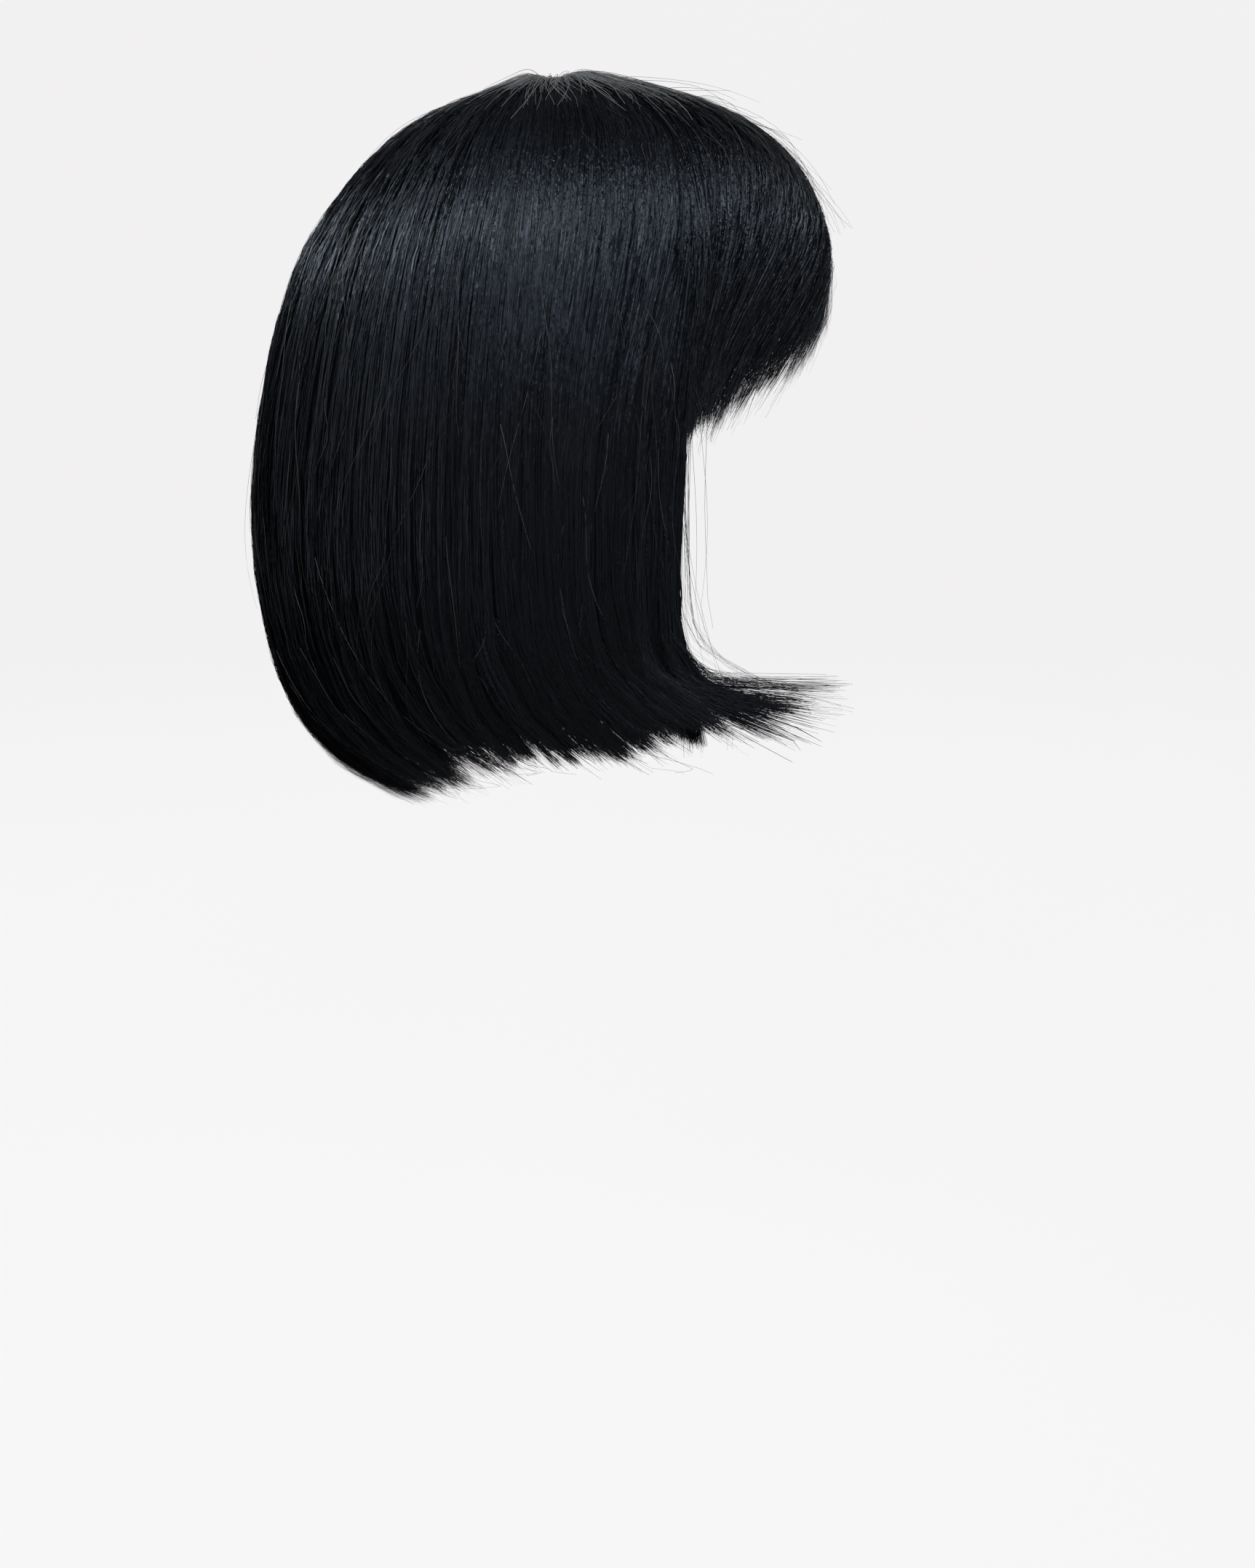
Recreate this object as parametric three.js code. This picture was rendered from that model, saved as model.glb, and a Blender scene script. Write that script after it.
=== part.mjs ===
// A chin-length bob wig with a side-swept fringe, as it sits on a head.
// Millimetres, +Z up, the face looks along -Y and the wearer's right side is at -X.
// The origin is the inside of the cap at its highest point, where the top of the head touches it.
// Azimuth is the angle round the head: 0 at the brow, 90 at the right ear, 180 at the nape,
// and negative or over 180 on the left side.
import * as THREE from "three";

// Head that the cap is made for
const HEAD_LENGTH = 192;
const HEAD_WIDTH = 150;
const HEAD_HEIGHT = 85; // from the level where the head is widest up to its top

// Cap
const CAP_WALL = 1.5;
const CAP_GAP = 1.2; // between the cap and the hair sewn on it

// Hair: how far it stands off the head, and how far it hangs below the head's widest level
const TOP_LIFT = 14.5;
const FRONT_LIFT = 9.5;
const SIDE_LIFT = 23.5;
const BACK_LIFT = 37.5;
const HANG_LENGTH = 198;
const WHORL_BACK = 4.5; // the crown whorl lies this far behind the top of the head
const WHORL_DIP = 4.5; // how deep the hair dips there
const WHORL_DIP_LENGTH = 7; // how far the dip spreads to the front and back
const WHORL_DIP_WIDTH = 26; // and to the sides
const HAIR_DEPTH = 30; // the thickest that a wall of hair gets
const HAIR_LEAST = 3; // the thinnest that hair lies over the head
const TIP_THICKNESS = 2.2;
const SECTION_GAP = 0.6; // between two neighbouring sections

// Locks
const LOCK_RELIEF = 2.4; // how deep the furrow between two locks is
const RELIEF_SHARE = 0.4; // or this share of the wall's thickness, where that is less
const LOCK_TOOTH = 11; // how far a lock's point hangs below the furrows beside it
const FRINGE_TOOTH = 6; // the same in the fringe
const LOCK_UNEVEN = 3.5; // how much longer or shorter the next lock is
const LOCK_RHYTHM = 2.4; // radians from one lock to the next in the wave of their lengths
const POINT_SHARPNESS = 1.6; // 1 is a straight-sided point, 2 a round one
const ROOT_SHARE = 1 / 3; // share of a section's rows over which its furrows deepen
const TAPER_START = 6; // the higher, the nearer to its end a wall of hair starts to thin
const SWEEP_LENGTH = 66; // how far the ends are brushed forward at the right cheek
const NAPE_THICKNESS = 8;
const NAPE_SEAT = 0.4; // between the nape layer and the cap, where it is sewn on
const NAPE_CLEARANCE = 1.8; // between the nape layer and the section over it

const LEVEL = -HEAD_HEIGHT; // height of the head's widest level
const DOME_HEIGHT = HEAD_HEIGHT + TOP_LIFT;
const FRONT_REACH = HEAD_LENGTH / 2 + WHORL_BACK + FRONT_LIFT;
const BACK_REACH = HEAD_LENGTH / 2 - WHORL_BACK + BACK_LIFT;
const SIDE_REACH = HEAD_WIDTH / 2 + SIDE_LIFT;

// The hair's outer form, one row for each level from the crown whorl down to the nape's points.
// rise is a share of the dome's height and drop of the hanging length, both from the widest level.
// front, side and back are shares of the reaches, depth is a share of the thickest wall.
const RINGS = [
  { rise: 1.0, drop: 0, front: 0.027, side: 0.03, back: 0.023, depth: 1 },
  { rise: 0.998, drop: 0, front: 0.1, side: 0.1, back: 0.062, depth: 1 },
  { rise: 0.982, drop: 0, front: 0.225, side: 0.225, back: 0.105, depth: 1 },
  { rise: 0.946, drop: 0, front: 0.38, side: 0.345, back: 0.175, depth: 1 },
  { rise: 0.893, drop: 0, front: 0.56, side: 0.475, back: 0.3, depth: 1 },
  { rise: 0.814, drop: 0, front: 0.715, side: 0.595, back: 0.44, depth: 1 },
  { rise: 0.705, drop: 0, front: 0.842, side: 0.69, back: 0.552, depth: 1 },
  { rise: 0.553, drop: 0, front: 0.937, side: 0.778, back: 0.664, depth: 1 },
  { rise: 0.352, drop: 0, front: 1.0, side: 0.853, back: 0.78, depth: 1 },
  { rise: 0.101, drop: 0, front: 0.982, side: 0.912, back: 0.866, depth: 0.85 },
  { rise: 0, drop: 0.1, front: 0.925, side: 0.956, back: 0.934, depth: 0.6 },
  { rise: 0, drop: 0.253, front: 0.9, side: 0.985, back: 0.98, depth: 0.52 },
  { rise: 0, drop: 0.404, front: 0.89, side: 1.0, back: 1.0, depth: 0.48 },
  { rise: 0, drop: 0.556, front: 0.905, side: 0.99, back: 0.983, depth: 0.46 },
  { rise: 0, drop: 0.682, front: 0.93, side: 0.955, back: 0.954, depth: 0.44 },
  { rise: 0, drop: 0.783, front: 0.92, side: 0.885, back: 0.901, depth: 0.41 },
  { rise: 0, drop: 0.874, front: 0.86, side: 0.79, back: 0.798, depth: 0.36 },
  { rise: 0, drop: 0.944, front: 0.77, side: 0.68, back: 0.646, depth: 0.3 },
  { rise: 0, drop: 1.0, front: 0.66, side: 0.56, back: 0.477, depth: 0.24 },
];
const LAST_RING = RINGS.length - 1;

// The ends of each section of hair. hem is the drop of a lock's point at an azimuth, as a share of
// the hanging length, or above the widest level a negative share of the dome's height.
const RIGHT_HEM = [
  { azimuth: 60, hem: 0.67 },
  { azimuth: 70, hem: 0.68 },
  { azimuth: 79, hem: 0.71 },
  { azimuth: 90, hem: 0.785 },
  { azimuth: 101, hem: 0.81 },
  { azimuth: 112, hem: 0.805 },
];
const BACK_HEM = [
  { azimuth: 112, hem: 0.82 },
  { azimuth: 126, hem: 0.855 },
  { azimuth: 140, hem: 0.905 },
  { azimuth: 160, hem: 0.955 },
  { azimuth: 185, hem: 1.0 },
  { azimuth: 210, hem: 0.98 },
  { azimuth: 234, hem: 0.93 },
  { azimuth: 248, hem: 0.9 },
];
const LEFT_HEM = [
  { azimuth: 248, hem: 0.885 },
  { azimuth: 262, hem: 0.885 },
  { azimuth: 276, hem: 0.9 },
  { azimuth: 288, hem: 0.93 },
  { azimuth: 300, hem: 0.965 },
];
const FRINGE_HEM = [
  { azimuth: -60, hem: 0.1 },
  { azimuth: -40, hem: 0.03 },
  { azimuth: -12, hem: -0.02 },
  { azimuth: 14, hem: 0.02 },
  { azimuth: 38, hem: 0.09 },
  { azimuth: 60, hem: 0.15 },
];

// How strongly the ends are brushed forward all round the head, as a share of SWEEP_LENGTH,
// and the drop where that starts
const SWEEP = [
  { azimuth: -60, share: 0.055, start: 0.38 },
  { azimuth: 60, share: 1.0, start: 0.44 },
  { azimuth: 70, share: 0.8, start: 0.42 },
  { azimuth: 79, share: 0.58, start: 0.4 },
  { azimuth: 90, share: 0.36, start: 0.38 },
  { azimuth: 101, share: 0.25, start: 0.38 },
  { azimuth: 112, share: 0.19, start: 0.38 },
  { azimuth: 126, share: 0.13, start: 0.38 },
  { azimuth: 150, share: 0.06, start: 0.38 },
  { azimuth: 180, share: 0, start: 0.38 },
  { azimuth: 210, share: 0.03, start: 0.38 },
  { azimuth: 248, share: 0.05, start: 0.38 },
  { azimuth: 300, share: 0.055, start: 0.38 },
];
const SWEEP_FULL = 0.68; // drop where it reaches its named length
const FRINGE_LEAN = 1.1; // how strongly the fringe's locks crowd to the right towards their ends

// The lock that frames the face grows out between the fringe and the side section
const FACE_EDGE = 60; // azimuth of the hair's edge beside the face
const RIGHT_BACK_EDGE = 112; // azimuths where the side sections meet the back section
const LEFT_BACK_EDGE = 248;
const FACE_LOCK_WIDTH = 12; // degrees, where it is fully grown
const FACE_LOCK_ROOT = 1.6; // degrees, where it starts
const FACE_LOCK_TOP_RING = 6;
const FACE_LOCK_FULL_RING = 11;

// Above this ring all sections have their rows of corners on the rings, so that their edges meet
const SHARED_RING = 12;
const FRINGE_SHARED_RING = 7;

// The layer under the back section, from the cap's nape to the neck
const NAPE_EDGE = 44; // degrees to each side of the nape
const NAPE_TOP_RING = 10;
const NAPE_FREE_RING = 13;
const NAPE_HEM = 0.84;

// Lower edge of the cap, one half: turn is 0 at the top of the head, 1 at its widest level
// and 2 as far below that level as the top is above it
const CAP_RIM = [
  { azimuth: 0, turn: 0.71 },
  { azimuth: 35, turn: 0.77 },
  { azimuth: 56, turn: 0.92 },
  { azimuth: 68, turn: 1.22 },
  { azimuth: 76, turn: 1.3 },
  { azimuth: 92, turn: 1.13 },
  { azimuth: 116, turn: 1.45 },
  { azimuth: 150, turn: 1.7 },
  { azimuth: 180, turn: 1.76 },
];
const HEAD_TAPER = 0.25; // how much narrower the head gets, one head height below its widest level
const NECK_SHARE = 0.62; // the neck is this share of the head's width and length

// Fineness of the faceted surfaces
const COLUMNS_PER_LOCK = 4;
const CAP_SIDES = 40;
const CAP_ROWS = 8;
const NAPE_LOCKS = 6;
const NAPE_ROWS = 10;
const HALVINGS = 24; // steps in which a ring is found from its height

const radians = THREE.MathUtils.degToRad;
const clamp01 = (value) => THREE.MathUtils.clamp(value, 0, 1);

// A column of a table at a place between its rows, on a smooth curve through them
function smoothColumn(table, column, place) {
  const last = table.length - 1;
  const row = Math.min(Math.floor(place), last - 1);
  const at = (index) => table[THREE.MathUtils.clamp(index, 0, last)][column];
  const [a, b, c, d] = [at(row - 1), at(row), at(row + 1), at(row + 2)];
  const t = place - row;
  const bend = 2 * a - 5 * b + 4 * c - d + (3 * b - a - 3 * c + d) * t;
  return b + 0.5 * t * (c - a + t * bend);
}

// The place of an azimuth among the rows of a table that lists azimuths
function placeOfAzimuth(table, azimuth) {
  let row = 0;
  while (row < table.length - 2 && azimuth > table[row + 1].azimuth) row++;
  const from = table[row].azimuth;
  return row + clamp01((azimuth - from) / (table[row + 1].azimuth - from));
}

const byAzimuth = (table, column, azimuth) =>
  smoothColumn(table, column, placeOfAzimuth(table, azimuth));

function ringHeight(ring) {
  const rise = smoothColumn(RINGS, "rise", ring);
  const drop = smoothColumn(RINGS, "drop", ring);
  return LEVEL + rise * DOME_HEIGHT - drop * HANG_LENGTH;
}

// The ring at a height, which is found by halving
function ringAtHeight(height) {
  let high = 0;
  let low = LAST_RING;
  for (let step = 0; step < HALVINGS; step++) {
    const middle = (high + low) / 2;
    if (ringHeight(middle) > height) high = middle;
    else low = middle;
  }
  return low;
}

const hemHeight = (hem) => LEVEL - hem * (hem < 0 ? DOME_HEIGHT : HANG_LENGTH);

// The share of the head's width and length at a height below its widest level
function headShare(height) {
  const below = (LEVEL - height) / HEAD_HEIGHT;
  return Math.max(1 - HEAD_TAPER * below * below, NECK_SHARE);
}

// How far the head with a cap on it reaches from its middle in a direction, at a height
function cappedHeadReach(direction, height) {
  const share = height < LEVEL ? headShare(height) : 1;
  return (
    CAP_WALL * share +
    1 /
      Math.hypot(
        direction.x / ((HEAD_WIDTH / 2) * share),
        direction.y / ((HEAD_LENGTH / 2) * share),
        direction.z / HEAD_HEIGHT,
      )
  );
}

// The undisturbed outer form of the hair at an azimuth and a ring
function formPoint(azimuth, ring) {
  const angle = radians(azimuth);
  const facing = Math.cos(angle);
  const forward = facing > 0;
  const reach =
    smoothColumn(RINGS, forward ? "front" : "back", ring) *
    (forward ? FRONT_REACH : BACK_REACH);
  const side = smoothColumn(RINGS, "side", ring) * SIDE_REACH;
  const [x, y] = [-side * Math.sin(angle), -reach * facing];
  const dip = WHORL_DIP * Math.exp(-((x / WHORL_DIP_WIDTH) ** 2) - (y / WHORL_DIP_LENGTH) ** 2);
  return new THREE.Vector3(x, WHORL_BACK + y, ringHeight(ring) - dip);
}

// The middle that a wall of hair is measured towards: the head's own, or straight inwards below it
const middleAt = (height) => new THREE.Vector3(0, 0, Math.min(LEVEL, height));

// The two faces of a wall of hair at an azimuth and a ring, with its depth and furrow
function wallPoints(azimuth, ring, depth, furrow) {
  const outer = formPoint(azimuth, ring);
  const middle = middleAt(outer.z);
  const direction = outer.clone().sub(middle);
  const reach = direction.length();
  direction.normalize();
  const head = cappedHeadReach(direction, middle.z) + CAP_GAP;
  const outerReach = Math.max(reach, head + HAIR_LEAST);
  const innerReach = Math.max(head, outerReach - depth);
  const thickness = outerReach - innerReach;
  const sunk = outerReach - furrow * Math.min(LOCK_RELIEF, RELIEF_SHARE * thickness);
  return {
    outer: direction.clone().multiplyScalar(sunk).add(middle),
    inner: direction.clone().multiplyScalar(innerReach).add(middle),
  };
}

// Closed geometry from two grids of corners, one for each face of a wall
function wallGeometry(outerRows, innerRows) {
  const rows = outerRows.length;
  const columns = outerRows[0].length;
  const corners = [...outerRows.flat(), ...innerRows.flat()];
  const outer = (row, column) => row * columns + column;
  const inner = (row, column) => (rows + row) * columns + column;
  const index = [];
  // The corners go clockwise as seen from outside
  const quad = (a, b, c, d) => index.push(a, c, b, a, d, c);
  for (let row = 0; row < rows - 1; row++) {
    for (let column = 0; column < columns - 1; column++) {
      quad(
        outer(row, column),
        outer(row + 1, column),
        outer(row + 1, column + 1),
        outer(row, column + 1),
      );
      quad(
        inner(row, column),
        inner(row, column + 1),
        inner(row + 1, column + 1),
        inner(row + 1, column),
      );
    }
    quad(
      inner(row, 0),
      inner(row + 1, 0),
      outer(row + 1, 0),
      outer(row, 0),
    );
    quad(
      outer(row, columns - 1),
      outer(row + 1, columns - 1),
      inner(row + 1, columns - 1),
      inner(row, columns - 1),
    );
  }
  for (let column = 0; column < columns - 1; column++) {
    quad(
      outer(0, column),
      outer(0, column + 1),
      inner(0, column + 1),
      inner(0, column),
    );
    quad(
      outer(rows - 1, column),
      inner(rows - 1, column),
      inner(rows - 1, column + 1),
      outer(rows - 1, column + 1),
    );
  }
  return new THREE.BufferGeometry().setFromPoints(corners).setIndex(index);
}

// How far the hair at an azimuth and a height is brushed forward
function sweptForward(azimuth, height) {
  const drop = (LEVEL - height) / HANG_LENGTH;
  const start = byAzimuth(SWEEP, "start", azimuth);
  const along = Math.max(0, (drop - start) / (SWEEP_FULL - start));
  return byAzimuth(SWEEP, "share", azimuth) * SWEEP_LENGTH * along ** 3;
}

// The ring of one of the rows of corners, of which the first ones lie on the rings themselves
function rowRing(row, rows, topRing, sharedRing, endRing) {
  const shared = sharedRing - topRing;
  if (row <= shared) return topRing + row;
  return THREE.MathUtils.lerp(sharedRing, endRing, (row - shared) / (rows - 1 - shared));
}

// Where a column of corners lies on its lock: across the section, and 0 on a ridge to 1 in a furrow
function lockPlace(column, columns, locks) {
  const across = column / (columns - 1);
  const lock = Math.min(Math.floor(across * locks), locks - 1);
  return { across, lock, offset: Math.abs(2 * (across * locks - lock) - 1) };
}

// How far a lock's round back has fallen off towards its furrow, once it has left the roots
const furrowDepth = (offset, along) =>
  (1 - Math.sqrt(1 - offset * offset)) * clamp01(along / ROOT_SHARE);

// A section of hair in locks. edgeAt gives the azimuths of its two edges at a ring.
function hairSection({
  hems,
  edgeAt,
  locks,
  rows,
  topRing = 0,
  sharedRing = SHARED_RING,
  lean = 0,
  tooth = LOCK_TOOTH,
}) {
  const columns = locks * COLUMNS_PER_LOCK + 1;
  const outerRows = [];
  const innerRows = [];
  for (let row = 0; row < rows; row++) {
    const along = row / (rows - 1);
    const outerRow = [];
    const innerRow = [];
    for (let column = 0; column < columns; column++) {
      const { across, lock, offset } = lockPlace(column, columns, locks);
      const [endFrom, endTo] = edgeAt(LAST_RING);
      const endShare = 1 - (1 - across) ** (1 + lean);
      const endAzimuth = THREE.MathUtils.lerp(endFrom, endTo, endShare);
      const point =
        hemHeight(byAzimuth(hems, "hem", endAzimuth)) +
        tooth * offset ** POINT_SHARPNESS -
        LOCK_UNEVEN * Math.sin(LOCK_RHYTHM * lock) * (1 - offset);
      const ring = rowRing(row, rows, topRing, sharedRing, ringAtHeight(point));
      const [from, to] = edgeAt(ring);
      const share = 1 - (1 - across) ** (1 + lean * along);
      const azimuth = THREE.MathUtils.lerp(from, to, share);
      const full = smoothColumn(RINGS, "depth", ring) * HAIR_DEPTH;
      const depth = THREE.MathUtils.lerp(full, TIP_THICKNESS, along ** TAPER_START);
      const furrow = furrowDepth(offset, along);
      const wall = wallPoints(azimuth, ring, depth, furrow);
      const shift = formPoint(azimuth + 1, ring)
        .sub(formPoint(azimuth - 1, ring))
        .setLength((0.5 - across) * SECTION_GAP);
      shift.y -= sweptForward(azimuth, ringHeight(ring));
      outerRow.push(wall.outer.add(shift));
      innerRow.push(wall.inner.add(shift));
    }
    outerRows.push(outerRow);
    innerRows.push(innerRow);
  }
  return wallGeometry(outerRows, innerRows);
}

// How wide the face-framing lock has grown at a ring, in degrees
function faceLockWidth(ring) {
  const grown = THREE.MathUtils.smoothstep(ring, FACE_LOCK_TOP_RING, FACE_LOCK_FULL_RING);
  return THREE.MathUtils.lerp(FACE_LOCK_ROOT, FACE_LOCK_WIDTH, grown);
}

// Azimuth where the right side section begins, behind the face-framing lock
function rightFaceEdge(ring) {
  return FACE_EDGE + (ring < FACE_LOCK_TOP_RING ? 0 : faceLockWidth(ring));
}

function fringe() {
  return hairSection({
    hems: FRINGE_HEM,
    edgeAt: () => [-FACE_EDGE, FACE_EDGE],
    locks: 9,
    rows: 12,
    sharedRing: FRINGE_SHARED_RING,
    lean: FRINGE_LEAN,
    tooth: FRINGE_TOOTH,
  });
}

function rightSide() {
  return hairSection({
    hems: RIGHT_HEM,
    edgeAt: (ring) => [rightFaceEdge(ring), RIGHT_BACK_EDGE],
    locks: 6,
    rows: 18,
  });
}

function leftSide() {
  return hairSection({
    hems: LEFT_HEM,
    edgeAt: (ring) => [LEFT_BACK_EDGE, 360 - rightFaceEdge(ring)],
    locks: 6,
    rows: 18,
  });
}

function back() {
  return hairSection({
    hems: BACK_HEM,
    edgeAt: () => [RIGHT_BACK_EDGE, LEFT_BACK_EDGE],
    locks: 10,
    rows: 18,
  });
}

function rightFaceLock() {
  return hairSection({
    hems: RIGHT_HEM,
    edgeAt: (ring) => [FACE_EDGE, rightFaceEdge(ring)],
    locks: 2,
    rows: 12,
    topRing: FACE_LOCK_TOP_RING,
  });
}

function leftFaceLock() {
  return hairSection({
    hems: LEFT_HEM,
    edgeAt: (ring) => [360 - rightFaceEdge(ring), 360 - FACE_EDGE],
    locks: 2,
    rows: 12,
    topRing: FACE_LOCK_TOP_RING,
  });
}

// The cap's inner or outer face at an azimuth and a turn
function capPoint(azimuth, turn, offset) {
  const angle = radians(azimuth);
  const swing = radians(90 * Math.min(turn, 1));
  const height = turn > 1 ? LEVEL - (turn - 1) * HEAD_HEIGHT : 0;
  const share = turn > 1 ? headShare(height) : 1;
  const width = (HEAD_WIDTH / 2 + offset) * share;
  const length = (HEAD_LENGTH / 2 + offset) * share;
  return new THREE.Vector3(
    -width * Math.sin(swing) * Math.sin(angle),
    -length * Math.sin(swing) * Math.cos(angle),
    turn > 1 ? height : LEVEL + (HEAD_HEIGHT + offset) * Math.cos(swing),
  );
}

function cap() {
  const [sides, rows] = [CAP_SIDES, CAP_ROWS];
  const corners = [capPoint(0, 0, CAP_WALL), capPoint(0, 0, 0)];
  const index = [];
  for (const offset of [CAP_WALL, 0]) {
    for (let row = 1; row <= rows; row++) {
      for (let side = 0; side < sides; side++) {
        const azimuth = (360 * side) / sides;
        const half = Math.abs(azimuth > 180 ? azimuth - 360 : azimuth);
        const rim = byAzimuth(CAP_RIM, "turn", half);
        corners.push(capPoint(azimuth, (rim * row) / rows, offset));
      }
    }
  }
  const corner = (face, row, side) => 2 + (face * rows + row - 1) * sides + (side % sides);
  for (let side = 0; side < sides; side++) {
    index.push(0, corner(0, 1, side + 1), corner(0, 1, side));
    index.push(1, corner(1, 1, side), corner(1, 1, side + 1));
    for (let row = 1; row < rows; row++) {
      const [a, b] = [corner(0, row, side), corner(0, row, side + 1)];
      const [c, d] = [corner(0, row + 1, side), corner(0, row + 1, side + 1)];
      index.push(a, d, c, a, b, d);
      const [e, f] = [corner(1, row, side), corner(1, row, side + 1)];
      const [g, h] = [corner(1, row + 1, side), corner(1, row + 1, side + 1)];
      index.push(e, g, h, e, h, f);
    }
    const [a, b] = [corner(0, rows, side), corner(0, rows, side + 1)];
    const [c, d] = [corner(1, rows, side), corner(1, rows, side + 1)];
    index.push(a, d, c, a, b, d);
  }
  return new THREE.BufferGeometry().setFromPoints(corners).setIndex(index);
}

// The nape layer leaves the cap's lower edge and lies along the inside of the back section
function nape() {
  const [locks, rows] = [NAPE_LOCKS, NAPE_ROWS];
  const columns = locks * COLUMNS_PER_LOCK + 1;
  const outerRows = [];
  const innerRows = [];
  for (let row = 0; row < rows; row++) {
    const along = row / (rows - 1);
    const outerRow = [];
    const innerRow = [];
    for (let column = 0; column < columns; column++) {
      const { across, offset } = lockPlace(column, columns, locks);
      const azimuth = THREE.MathUtils.lerp(180 - NAPE_EDGE, 180 + NAPE_EDGE, across);
      const point = hemHeight(NAPE_HEM) + LOCK_TOOTH * offset ** POINT_SHARPNESS;
      const ring = rowRing(row, rows, NAPE_TOP_RING, SHARED_RING, ringAtHeight(point));
      const cover = smoothColumn(RINGS, "depth", ring) * HAIR_DEPTH;
      const { inner } = wallPoints(azimuth, ring, cover, 0);
      const middle = middleAt(inner.z);
      const direction = inner.clone().sub(middle);
      const coverReach = direction.length() - NAPE_CLEARANCE;
      direction.normalize();
      const head = cappedHeadReach(direction, middle.z) + NAPE_SEAT;
      const thickness = THREE.MathUtils.lerp(NAPE_THICKNESS, TIP_THICKNESS, along ** TAPER_START);
      const rooted = Math.min(head + thickness, coverReach);
      const free = THREE.MathUtils.smoothstep(ring, NAPE_TOP_RING, NAPE_FREE_RING);
      const outerReach = THREE.MathUtils.lerp(rooted, Math.max(coverReach, rooted), free);
      const innerReach = Math.max(head, outerReach - thickness);
      const furrow = RELIEF_SHARE * thickness * furrowDepth(offset, along);
      const swept = new THREE.Vector3(0, -sweptForward(azimuth, inner.z), 0).add(middle);
      outerRow.push(direction.clone().multiplyScalar(outerReach - furrow).add(swept));
      innerRow.push(direction.clone().multiplyScalar(innerReach).add(swept));
    }
    outerRows.push(outerRow);
    innerRows.push(innerRow);
  }
  return wallGeometry(outerRows, innerRows);
}

const hairFinish = { color: 0x0b0c10, roughness: 0.38, metalness: 0 };
const capFinish = { color: 0x141416, roughness: 0.85, metalness: 0 };

function piece(name, geometry, finish) {
  geometry.computeVertexNormals();
  const mesh = new THREE.Mesh(geometry, new THREE.MeshStandardMaterial(finish));
  mesh.name = name;
  return mesh;
}

const wig = new THREE.Group();
wig.add(
  piece("cap", cap(), capFinish),
  piece("fringe", fringe(), hairFinish),
  piece("side_hair_right", rightSide(), hairFinish),
  piece("side_hair_left", leftSide(), hairFinish),
  piece("back_hair", back(), hairFinish),
  piece("face_lock_right", rightFaceLock(), hairFinish),
  piece("face_lock_left", leftFaceLock(), hairFinish),
  piece("nape_hair", nape(), hairFinish),
);

export default wig;
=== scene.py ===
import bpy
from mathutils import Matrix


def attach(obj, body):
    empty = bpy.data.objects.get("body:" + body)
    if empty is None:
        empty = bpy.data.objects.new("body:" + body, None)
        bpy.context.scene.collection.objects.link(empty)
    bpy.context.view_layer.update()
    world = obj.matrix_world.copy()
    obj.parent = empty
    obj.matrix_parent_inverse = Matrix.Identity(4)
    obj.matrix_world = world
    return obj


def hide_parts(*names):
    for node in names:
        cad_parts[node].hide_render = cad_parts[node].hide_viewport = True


bl_info = {
    "name": "Bob wig",
    "version": (1, 0, 0),
    "blender": (4, 5, 0),
    "location": "View3D > Sidebar > Wig",
    "description": "Grows the strands of a chin-length bob wig over its solids",
    "category": "Mesh",
}

import math

import bpy
import numpy as np
from bpy.props import FloatProperty, FloatVectorProperty, IntProperty, PointerProperty

from mathutils import Vector

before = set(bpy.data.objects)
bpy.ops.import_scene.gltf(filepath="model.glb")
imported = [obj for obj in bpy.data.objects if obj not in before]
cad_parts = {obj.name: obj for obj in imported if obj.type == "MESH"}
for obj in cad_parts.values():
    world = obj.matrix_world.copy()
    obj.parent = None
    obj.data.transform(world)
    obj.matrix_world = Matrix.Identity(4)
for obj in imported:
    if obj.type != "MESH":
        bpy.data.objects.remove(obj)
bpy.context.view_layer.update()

# Head that the cap is made for, in metres as all lengths here
HEAD_LENGTH = 0.192
HEAD_WIDTH = 0.150
HEAD_HEIGHT = 0.085

# How far the hair stands off the head, and how far it hangs
CAP_WALL = 0.0015
CAP_GAP = 0.0012
TOP_LIFT = 0.0145
FRONT_LIFT = 0.0095
SIDE_LIFT = 0.0235
BACK_LIFT = 0.0375
HANG_LENGTH = 0.198
WHORL_BACK = 0.0045
WHORL_DIP = 0.0045
WHORL_DIP_LENGTH = 0.007
WHORL_DIP_WIDTH = 0.026
HAIR_DEPTH = 0.030
HAIR_LEAST = 0.003
TIP_THICKNESS = 0.0022
LOCK_RELIEF = 0.0024
RELIEF_SHARE = 0.4
LOCK_TOOTH = 0.011
FRINGE_TOOTH = 0.006
LOCK_UNEVEN = 0.0035
LOCK_RHYTHM = 2.4
POINT_SHARPNESS = 1.6
ROOT_SHARE = 1 / 3
TAPER_START = 6
SWEEP_LENGTH = 0.066
SWEEP_FULL = 0.68
FRINGE_LEAN = 1.1
FACE_EDGE = 60
RIGHT_BACK_EDGE = 112
LEFT_BACK_EDGE = 248
FACE_LOCK_WIDTH = 12
FACE_LOCK_ROOT = 1.6
FACE_LOCK_TOP_RING = 6
FACE_LOCK_FULL_RING = 11
SHARED_RING = 12
FRINGE_SHARED_RING = 7
NAPE_EDGE = 44
NAPE_TOP_RING = 10
NAPE_FREE_RING = 13
NAPE_HEM = 0.84
NAPE_THICKNESS = 0.008
NAPE_SEAT = 0.0004
NAPE_CLEARANCE = 0.0018
HEAD_TAPER = 0.25
FLIP_SAG = 0.0055
FLIP_DELAY = 0.6
FLIP_FADE = (6, 26)
STRAND_RELIEF = 0.4
LAYER_FILLED = 0.93
LAYER_SINK = 0.0026
LAYER_SINK_SHARE = 0.34
LAYER_INSET = 0.0009
LAYER_INSET_SHARE = 0.2
HIGHEST_LIFT = -0.0006
SHORT_BELOW_HEM = 0.015

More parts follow.
